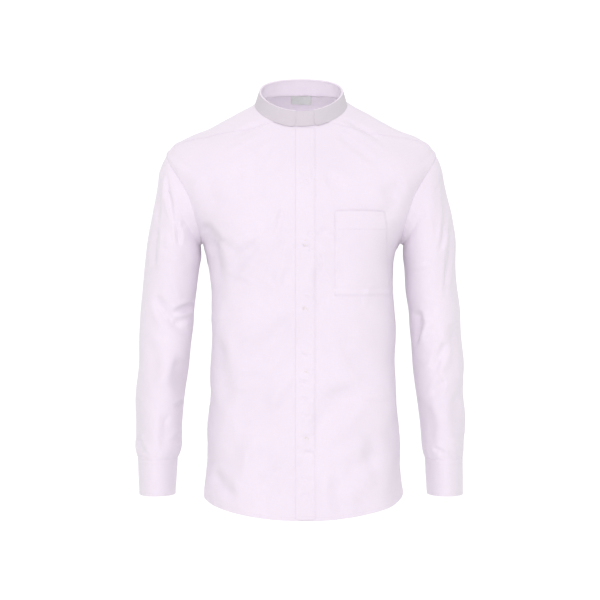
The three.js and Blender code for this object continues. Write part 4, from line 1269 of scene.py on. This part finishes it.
# %% How the sleeve's cloth departs from its smooth form
SLEEVE_STRENGTH = 1.6
SLEEVE_CREASES = ((-640, -150), (18, 55), (3.5, 7), (0.15, 0.55))
GATHER = {"height": 1.1, "reach": 20, "pitch": 11.0, "blend": 20}
PUFF = {"height": 1.6, "middle": 16, "width": 14}
CUFF_STEP = {"height": 1.2, "start": 0.3, "slope": 1.3, "reach": 30}


def sleeve_relief(side, points, turn, place):
    """Waves and folds as on the body, which fade out at the armhole. Above the cuff the cloth
    stands out over the band's edge, puffs out and is gathered in short pleats."""
    x, _, z = np.moveaxis(points, -1, 0)
    forward = np.sin(np.radians(turn))
    folds = LEFT_SLEEVE_FOLDS if side > 0 else RIGHT_SLEEVE_FOLDS
    x_range = (200, 296) if side > 0 else (-296, -200)
    small = scattered_folds(70 + side, 46, x_range, *SLEEVE_CREASES)
    small_behind = scattered_folds(75 + side, 40, x_range, *SLEEVE_CREASES)
    depth = smooth(forward / 0.35) * (fold_depth(folds, x, z, SLEEVE_STRENGTH)
                                      + fold_depth(small, x, z, SMALL_STRENGTH))
    depth += smooth(-forward / 0.35) * (fold_depth(SLEEVE_BACK_FOLDS, np.abs(x), z, SLEEVE_STRENGTH)
                                        + fold_depth(small_behind, x, z, SMALL_STRENGTH))
    above_cuff = np.clip(z - SLEEVE_TUBE[-1, 0], 0, None)
    turn = np.asarray(turn) % 360
    gather = wobble(80 + side, turn, GATHER["pitch"]) * np.exp(-above_cuff / GATHER["reach"])
    blend = smooth(turn / GATHER["blend"]) * smooth((360 - turn) / GATHER["blend"])
    puff = PUFF["height"] * np.exp(-((above_cuff - PUFF["middle"]) / PUFF["width"]) ** 2)
    height = (waves(points, 0.85) - depth) * smooth((above_cuff - 1) / 28)
    height = height + puff * smooth(above_cuff / 6)
    height = height + GATHER["height"] * gather * blend * smooth(above_cuff / 5)
    step = CUFF_STEP["height"] * smooth((above_cuff - CUFF_STEP["start"]) / CUFF_STEP["slope"])
    return height * smooth((place - 0.04) / 1.1) + step * np.exp(-above_cuff / CUFF_STEP["reach"])


# %% Sleeves
SLEEVE_COLUMNS = 180
HEAD_EASE = {"height": 0.3, "rise": 5, "reach": 25}
sleeve_turns = np.arange(SLEEVE_COLUMNS) * 360 / SLEEVE_COLUMNS
sleeve_places = np.concatenate([
    [0, 0.02, 0.05, 0.09, 0.14, 0.2], np.linspace(0.27, 1, 12),
    np.linspace(1, 4, 48)[1:], np.linspace(4, LAST_PLACE - 0.17, 138)[1:],
    LAST_PLACE - np.array([0.13, 0.1, 0.075, 0.055, 0.035, 0.015, 0]),
])


def sleeve_cloth(side, flat, turn, place, extra, wraps=False):
    """Points of the smooth sleeve, raised by its relief and by extra."""
    height = sleeve_relief(side, flat, turn, place) + extra
    return raised(flat, grid_normals(flat, -side, wraps), height)


turn_grid, place_grid = np.meshgrid(sleeve_turns, sleeve_places)
for name, side in SIDES:
    flat = smooth_sleeve(side, turn_grid, place_grid)
    down, around = lengths(flat, 0), lengths(flat, 1)
    ease = seam_puckers(down, around, 90 + side, height=0.35, reach=6, pitch=9)
    swell = smooth(down / HEAD_EASE["rise"]) * np.exp(-down / HEAD_EASE["reach"])
    ease = ease + HEAD_EASE["height"] * swell
    add_cloth(f"cloth_sleeve_{name}", sleeve_cloth(side, flat, turn_grid, place_grid, ease, True),
              [f"sleeve_{name}"], outward=-side, wraps=True)

# %% [markdown]
# ## Sleeve strips and cuffs
# The slit above each cuff is faced with a narrow strip, at the back. The cuff is a stiff double
# band: it goes once round, climbs over its own start, and is held there by a button.

# %% Sleeve strips
SLEEVE_STRIP = {"turn": 302, "half_turn": 13, "top_z": -500, "bottom_z": -647,
                "lift": 1.0, "edge_lift": 0.25, "stitch": 2.0}
strip_share = 2 * stops((1, 12), edges=(0.5, 1.2, 2.2), size=26) - 1
strip_turn = SLEEVE_STRIP["turn"] + SLEEVE_STRIP["half_turn"] * strip_share
strip_z = mix(SLEEVE_STRIP["top_z"], SLEEVE_STRIP["bottom_z"], stops((1, 60), size=150))
for name, side in SIDES:
    place = solve(lambda value: -smooth_sleeve(side, SLEEVE_STRIP["turn"], value)[..., 2],
                  -strip_z, 5, LAST_PLACE)
    turns, places = np.meshgrid(strip_turn, place)
    flat = smooth_sleeve(side, turns, places)
    left, right, top, _ = distances(flat)
    edge = np.minimum(np.minimum(left, right), top)
    lift = SLEEVE_STRIP["lift"] + SLEEVE_STRIP["edge_lift"] * (1 - smooth((edge - 3) / 2))
    lift = lift - ridge(edge, SLEEVE_STRIP["stitch"], 0.25, 0.8)
    add_cloth(f"cloth_sleeve_strip_{name}", sleeve_cloth(side, flat, turns, places, lift),
              [f"sleeve_strip_{name}"], outward=-side)

# %% Cuffs
CUFF = {"top_z": -648.2, "bottom_z": -716.3, "inner_x": 232.5, "front": 71, "back": 18,
        "out": 0.8, "wall": 1.4}
CUFF_OUTER_X = {1: 295.5, -1: 296}
CUFF_LAP = {"start": 285, "lap": 34, "ramp": 46, "rise": 1.7, "button": 0.4}
CUFF_STITCH = {"edge": 5.0, "seam": 2.0, "second": 10.5}


def cuff_point(side, turn, down, out):
    """Half an ellipse in front and half behind, from the sleeve's last ring down to the cuff's own
    lower edge, moved out by some millimetres."""
    _, inner_x, right_x, left_x, front, back = SLEEVE_TUBE[-1]
    outer_x = mix(left_x if side > 0 else right_x, CUFF_OUTER_X[side], down)
    inner_x = mix(inner_x, CUFF["inner_x"], down)
    front, back = mix(front, CUFF["front"], down), mix(back, CUFF["back"], down)
    forward = np.sin(np.radians(turn))
    x = (outer_x + inner_x) / 2 + ((outer_x - inner_x) / 2 + out) * np.cos(np.radians(turn))
    y = -(np.where(forward > 0, front, back) + out) * forward
    return np.stack([side * x, y, mix(CUFF["top_z"], CUFF["bottom_z"], down) + 0 * x], axis=-1)


def cuff_out(along_turn):
    """The lap: the last part climbs one wall out in a smooth step."""
    climbed = smooth((along_turn - 360 + CUFF_LAP["ramp"]) / CUFF_LAP["ramp"])
    return CUFF["out"] + CUFF_LAP["rise"] * climbed


cuff_along = (360 + CUFF_LAP["lap"]) * stops((1, 150), edges=(0.5, 1.2, 2.2), size=290)
cuff_down = stops((1, 30), edges=(0.5, 1.2, 2.2), size=68)
along_grid, down_grid = np.meshgrid(cuff_along, cuff_down)
for name, side in SIDES:
    flat = cuff_point(side, CUFF_LAP["start"] + along_grid, down_grid, cuff_out(along_grid))
    left, right, top, bottom = distances(flat)
    edge = np.minimum(np.minimum(left, right), bottom)
    groove = (ridge(edge, CUFF_STITCH["edge"], 0.3, 0.9) + ridge(top, CUFF_STITCH["seam"], 0.25, 0.8)
              + ridge(top, CUFF_STITCH["second"], 0.5, 1.0))
    soft = 0.35 * wobble(100 + side, along_grid, 33.0) * smooth(left / 20) * smooth(right / 20)
    puckers = seam_puckers(np.abs(top - CUFF_STITCH["second"]), along_grid * 0.8, 105 + side,
                           height=1.0, reach=4)
    height = soft - groove + 0.2 * puckers
    add_cloth(f"cloth_cuff_{name}", raised(flat, grid_normals(flat, -side), height),
              [f"cuff_{name}"], outward=-side, thickness=CUFF["wall"],
              bevel=0.4)

# %% [markdown]
# ## Buttons
# A shirt button is a small round of pearly plastic with a raised rim, a dished middle and four
# holes. It is a surface of revolution, a profile turned round its axis, with the holes pressed
# into it where the turn and the radius fall near them.

# %% Button material
button_plastic, button_tree, button_shader = new_material(
    "button_plastic", {"Roughness": 0.28, "Coat Weight": 0.3})
button_place = button_tree.nodes.new("ShaderNodeTexCoord")
pearl = new_node(button_tree, "ShaderNodeTexNoise", Scale=260.0, Detail=3.0, Distortion=1.5)
button_tree.links.new(button_place.outputs["Object"], pearl.inputs["Vector"])
pearl_colour = colour_ramp(button_tree, pearl.outputs["Fac"], (0.74, 0.71, 0.68),
                           (0.86, 0.84, 0.82), 0.35, 0.65)
button_tree.links.new(pearl_colour, button_shader.inputs["Base Color"])

# %% Button
BUTTON = {"radius": 5.5, "thickness": 2.1, "rim": 1.5, "dish": 0.5, "roll": 0.6,
          "hole_ring": 1.5, "hole": 0.75, "hole_depth": 1.1, "turns": 48}


def frame_of(normal):
    """Two directions square to a normal and to each other."""
    normal = normal / np.linalg.norm(normal)
    first = np.cross(normal, (0, 0, 1.0))
    first /= np.linalg.norm(first)
    return first, np.cross(normal, first), normal


def closed_lathe(name, points, material):
    """A wrapped grid whose first and last rows have shrunk to a point, with those points merged."""
    mesh = cloth_mesh(name, points, 1, True)
    shape = bmesh.new()
    shape.from_mesh(mesh)
    bmesh.ops.remove_doubles(shape, verts=shape.verts, dist=1e-7)
    bmesh.ops.recalc_face_normals(shape, faces=shape.faces)
    shape.to_mesh(mesh)
    shape.free()
    mesh.materials.append(material)
    return add_object(name, mesh)


def add_button(name, centre, normal, node):
    """The face rises from the dish to the rim over a smooth step, rolls over the edge in a quarter
    circle, and comes back flat underneath. Each hole is a steep round pit in the face."""
    first, second, up = frame_of(normal)
    radius, half_thick, edge = BUTTON["radius"], BUTTON["thickness"] / 2, BUTTON["roll"]
    face_r = np.concatenate([np.linspace(0, 3.0, 16), np.linspace(3.2, radius - edge, 8)])
    on_rim = smooth((face_r - radius + edge + BUTTON["rim"]) / BUTTON["rim"])
    face_z = half_thick - BUTTON["dish"] * (1 - on_rim)
    roll = np.linspace(0, math.pi / 2, 5)[1:]
    roll_r = radius - edge + edge * np.sin(roll)
    roll_z = half_thick - edge + edge * np.cos(roll)
    under_r = np.array([radius, radius - 0.5, radius * 0.5, 0.0])
    under_z = np.array([-half_thick + 0.5, -half_thick, -half_thick, -half_thick])
    profile_r = np.concatenate([face_r, roll_r, under_r])[:, None]
    profile_z = np.concatenate([face_z, roll_z, under_z])[:, None]
    turn = np.arange(BUTTON["turns"]) * 2 * math.pi / BUTTON["turns"]
    across = profile_r * np.cos(turn)
    along = profile_r * np.sin(turn)
    z = profile_z + 0 * across
    on_face = (np.arange(len(profile_r)) < len(face_r))[:, None]
    for quarter in range(4):
        hole_turn = math.pi / 4 + quarter * math.pi / 2
        off = np.hypot(across - BUTTON["hole_ring"] * math.cos(hole_turn),
                       along - BUTTON["hole_ring"] * math.sin(hole_turn))
        z = z - on_face * BUTTON["hole_depth"] * (1 - smooth((off - BUTTON["hole"] + 0.25) / 0.35))
    points = centre + across[..., None] * first + along[..., None] * second + z[..., None] * up
    piece = closed_lathe(name, points, button_plastic)
    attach(piece, "root")
    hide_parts(node)


def seat(patch, clearance, outward=1):
    """The centre and the normal of a button over the middle of a patch of 3 by 3 points."""
    normal = grid_normals(patch, outward)[1, 1]
    return patch[1, 1] + normal * (clearance + BUTTON["thickness"] / 2), normal


# %% Place the buttons
BUTTON_CLEARANCE = {"front": 0.45, "cuff": 0.3}
around = np.array([-1.0, 0, 1])
for index, button_z in enumerate(BUTTON_Z):
    angle, ring = body_address(BUTTON_X, button_z)
    patch = on_the_body(pair(angle + 0.5 * around, ring + 0.02 * around[:, None]))
    add_button(f"front_button_{index + 1}_detailed", *seat(patch, BUTTON_CLEARANCE["front"]),
               f"front_button_{index + 1}")
lap_turn = CUFF_LAP["start"] + 360 + CUFF_LAP["lap"] * CUFF_LAP["button"]
lap_out = CUFF["out"] + CUFF_LAP["rise"] + CUFF["wall"] / 2
for name, side in SIDES:
    patch = cuff_point(side, lap_turn + around, 0.5 + 0.02 * around[:, None], lap_out)
    add_button(f"cuff_button_{name}_detailed", *seat(patch, BUTTON_CLEARANCE["cuff"], -side),
               f"cuff_button_{name}")
print("buttons", len(BUTTON_Z) + len(SIDES))

# %% [markdown]
# ## Stitches
# The visible seams are held by lines of stitches, each a short spindle of thread, sunk a little
# into its groove. One spindle's corners are worked out for all the places of a line at once. The
# line is found on the panel's own grid of points, at a fixed distance from one of its edges.

# %% Lines of stitches
STITCH = {"pitch": 2.9, "length": 2.1, "radius": 0.24, "tip": 0.35}
stitch_lines = {"shirt": [], "collar": []}


def seam_line(points, edge, place, outward=1, share=(0, 1), lift=CLOTH_THICKNESS / 2):
    """Where the distance from an edge reaches place, on every row or column, with the normals."""
    normals = grid_normals(points, outward)
    if edge in ("top", "bottom"):
        points, normals = points.transpose(1, 0, 2), normals.transpose(1, 0, 2)
    if edge in ("right", "bottom"):
        points, normals = points[:, ::-1], normals[:, ::-1]
    distance = lengths(points, 1)
    after = np.clip((distance >= place).argmax(axis=1), 1, None)
    row = np.arange(len(points))
    t = (place - distance[row, after - 1]) / (distance[row, after] - distance[row, after - 1])
    line = mix(points[row, after - 1], points[row, after], t[:, None])
    normal = normals[row, after]
    first, last = int(share[0] * (len(row) - 1)), int(share[1] * (len(row) - 1)) + 1
    return (line + normal * lift)[first:last], normal[first:last]


def sew(group, points, lines, outward=1, lift=CLOTH_THICKNESS / 2):
    """Adds lines of stitches on a piece to a group: an edge, a distance and a share for each."""
    for edge, place, share in lines:
        stitch_lines[group].append(seam_line(points, edge, place, outward, share, lift))


def read_along(values, run, place):
    """Each column of a line's values, read at these distances along the line."""
    return np.stack([np.interp(place, run, column) for column in values.T], axis=-1)


def unit(vectors):
    """The vectors at length one."""
    return vectors / np.linalg.norm(vectors, axis=1, keepdims=True)


def stitch_mesh(name, lines):
    """Spindles: three square rings, the middle one full size, closed at both ends."""
    centres, tangents, ups = [], [], []
    for line, normal in lines:
        run = np.concatenate([[0], np.cumsum(np.linalg.norm(np.diff(line, axis=0), axis=1))])
        count = max(1, int(run[-1] / STITCH["pitch"]))
        at = (np.arange(count) + 0.5) * run[-1] / count
        centres.append(read_along(line, run, at))
        tangents.append(read_along(line, run, at + 0.5) - read_along(line, run, at - 0.5))
        ups.append(read_along(normal, run, at))
    centre, tangent, up = (np.concatenate(values) for values in (centres, tangents, ups))
    tangent = unit(tangent)
    side = unit(np.cross(tangent, up))
    up = np.cross(side, tangent)
    along = (np.array([-0.5, 0, 0.5]) * STITCH["length"])[:, None, None]
    size = (np.array([STITCH["tip"], 1, STITCH["tip"]]) * STITCH["radius"])[:, None, None]
    turn = (np.arange(4) * math.pi / 2 + math.pi / 4)[:, None]
    centre, tangent, side, up = (values[:, None, None] for values in (centre, tangent, side, up))
    corners = centre + along * tangent + size * (np.cos(turn) * side + np.sin(turn) * up)
    corner, after = np.arange(4), (np.arange(4) + 1) % 4
    walls = [np.stack([ring + corner, ring + after, ring + 4 + after, ring + 4 + corner], axis=-1)
             for ring in (0, 4)]
    template = np.concatenate([*walls, [(3, 2, 1, 0), (8, 9, 10, 11)]])
    faces = template[None] + 12 * np.arange(len(centre))[:, None, None]
    return quad_mesh(name, corners, faces), len(centre)


# %% Sew every seam
WHOLE, INNER, MIDDLE = (0, 1), (0.03, 0.97), (0.02, 0.98)
YOKE_INNER = (0.12, 0.88)
for name, side in SIDES:
    sew("shirt", pieces[f"cloth_front_{name}"],
        (("right", SEAM["stitch_place"], WHOLE), ("bottom", HEM_TURN, WHOLE)), side)
    sew("shirt", pieces[f"cloth_cuff_{name}"],
        (("top", CUFF_STITCH["seam"], INNER), ("top", CUFF_STITCH["second"], INNER),
         ("bottom", CUFF_STITCH["edge"], INNER), ("left", CUFF_STITCH["edge"], INNER),
         ("right", CUFF_STITCH["edge"], INNER)), -side, CUFF["wall"] / 2)
    sew("shirt", pieces[f"cloth_sleeve_strip_{name}"],
        [(edge, SLEEVE_STRIP["stitch"], MIDDLE) for edge in ("left", "right", "top")], -side)
sew("shirt", pieces["cloth_back"],
    (("left", SEAM["stitch_place"], WHOLE), ("right", SEAM["stitch_place"], WHOLE),
     ("bottom", HEM_TURN, WHOLE)))
sew("shirt", pieces["cloth_yoke"],
    (("left", YOKE_STITCH["place"], WHOLE), ("right", YOKE_STITCH["place"], WHOLE),
     ("bottom", YOKE_STITCH["place"], YOKE_INNER)))
sew("shirt", pieces["cloth_front_strip"],
    (("right", STRIP["stitch"], WHOLE), ("bottom", HEM_TURN, WHOLE)))
sew("shirt", pieces["cloth_chest_pocket"],
    (("top", POCKET_HEM, WHOLE), ("left", POCKET_STITCH, WHOLE), ("right", POCKET_STITCH, WHOLE),
     ("bottom", POCKET_STITCH, INNER)))
sew("collar", pieces["cloth_collar_fall"], [("bottom", FALL_STITCH, MIDDLE)], 1, COLLAR["wall"] / 2)
sew("shirt", pieces["cloth_collar_stand"], [("bottom", STAND["stitch"], WHOLE)], -1, COLLAR["wall"] / 2)

thread, thread_tree, thread_shader = new_material(
    "thread_white", {"Roughness": 0.6, "Sheen Weight": 0.2})
thread_place = thread_tree.nodes.new("ShaderNodeTexCoord")
twist = new_node(thread_tree, "ShaderNodeTexNoise", Scale=1800.0)
thread_tree.links.new(thread_place.outputs["Object"], twist.inputs["Vector"])
thread_colour = colour_ramp(thread_tree, twist.outputs["Fac"], (0.72, 0.66, 0.73), (0.84, 0.78, 0.85))
thread_tree.links.new(thread_colour, thread_shader.inputs["Base Color"])
for group, lines in stitch_lines.items():
    mesh, count = stitch_mesh(f"stitches_{group}", lines)
    stitches = add_object(f"stitches_{group}", mesh)
    mesh.materials.append(thread)
    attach(stitches, "root")
    print(f"stitches_{group}", count)

# %% [markdown]
# ## Floor and light
# The photograph has a pure white ground and very soft light, with a little more of it from the
# front, so the middle of the chest is brightest and the sides fall off. The world is white, and
# brighter behind the shirt, where it gives the ground, than in front. One large lamp in front and
# a small one beside it shape the folds, and two faint ones inside keep the hollow neck from going
# dark. The pale floor lies well below the hem, under the camera's view.

# %% Floor
floor_material, _, _ = new_material("floor", {"Base Color": (0.9, 0.9, 0.9, 1), "Roughness": 0.9})
FLOOR = {"radius": 1.4, "z": -1.1, "corners": 96}
floor_turn = np.arange(FLOOR["corners"]) * 2 * math.pi / FLOOR["corners"]
floor_rim = np.stack([FLOOR["radius"] * np.cos(floor_turn), FLOOR["radius"] * np.sin(floor_turn),
                      FLOOR["z"] + 0 * floor_turn], axis=-1)
floor_mesh = bpy.data.meshes.new("floor")
floor_mesh.from_pydata(floor_rim.tolist(), [], [list(range(FLOOR["corners"]))])
floor_mesh.materials.append(floor_material)
floor = add_object("floor", floor_mesh)
print("floor at z", FLOOR["z"], "m")

# %% World and lamps
world = bpy.data.worlds.new("studio")
bpy.context.scene.world = world
world.use_nodes = True
world_light = world.node_tree.nodes["Background"]
world_light.inputs["Color"].default_value = (1.0, 1.0, 1.0, 1)
BACKDROP, ROOM = 1.15, 0.7
LAMP_TINT = (1.0, 0.84, 0.99)
world_link = world.node_tree.links.new
direction = world.node_tree.nodes.new("ShaderNodeTexCoord")
parts = world.node_tree.nodes.new("ShaderNodeSeparateXYZ")
backdrop = world.node_tree.nodes.new("ShaderNodeMapRange")
for socket, value in (("From Min", -0.1), ("From Max", 0.5), ("To Min", ROOM), ("To Max", BACKDROP)):
    backdrop.inputs[socket].default_value = value
world_link(direction.outputs["Generated"], parts.inputs["Vector"])
world_link(parts.outputs["Y"], backdrop.inputs["Value"])
world_link(backdrop.outputs["Result"], world_light.inputs["Strength"])
bpy.context.scene.view_settings.view_transform = "Standard"


def add_lamp(name, place, target, size, power):
    """A square soft lamp that faces a point."""
    data = bpy.data.lights.new(name, "AREA")
    data.size = size
    data.energy = power
    data.color = LAMP_TINT
    lamp = add_object(name, data)
    lamp.location = place
    lamp.rotation_mode = "QUATERNION"
    lamp.rotation_quaternion = Vector(np.subtract(target, place)).to_track_quat("-Z", "Y")


CHEST = (0, 0, -0.3)
add_lamp("key", (0.1, -4.8, 1.2), CHEST, 4.0, 101)
add_lamp("rake", (-1.3, -2.0, 1.5), CHEST, 0.7, 5)
for name, height, power in (("neck", -0.2, 0.24), ("waist", -0.5, 0.2)):
    data = bpy.data.lights.new(name, "POINT")
    data.shadow_soft_size = 0.05
    data.energy = power
    glow = add_object(name, data)
    glow.location = (0, 0, height)
    glow.visible_camera = False
print("lamps", len(bpy.data.lights))
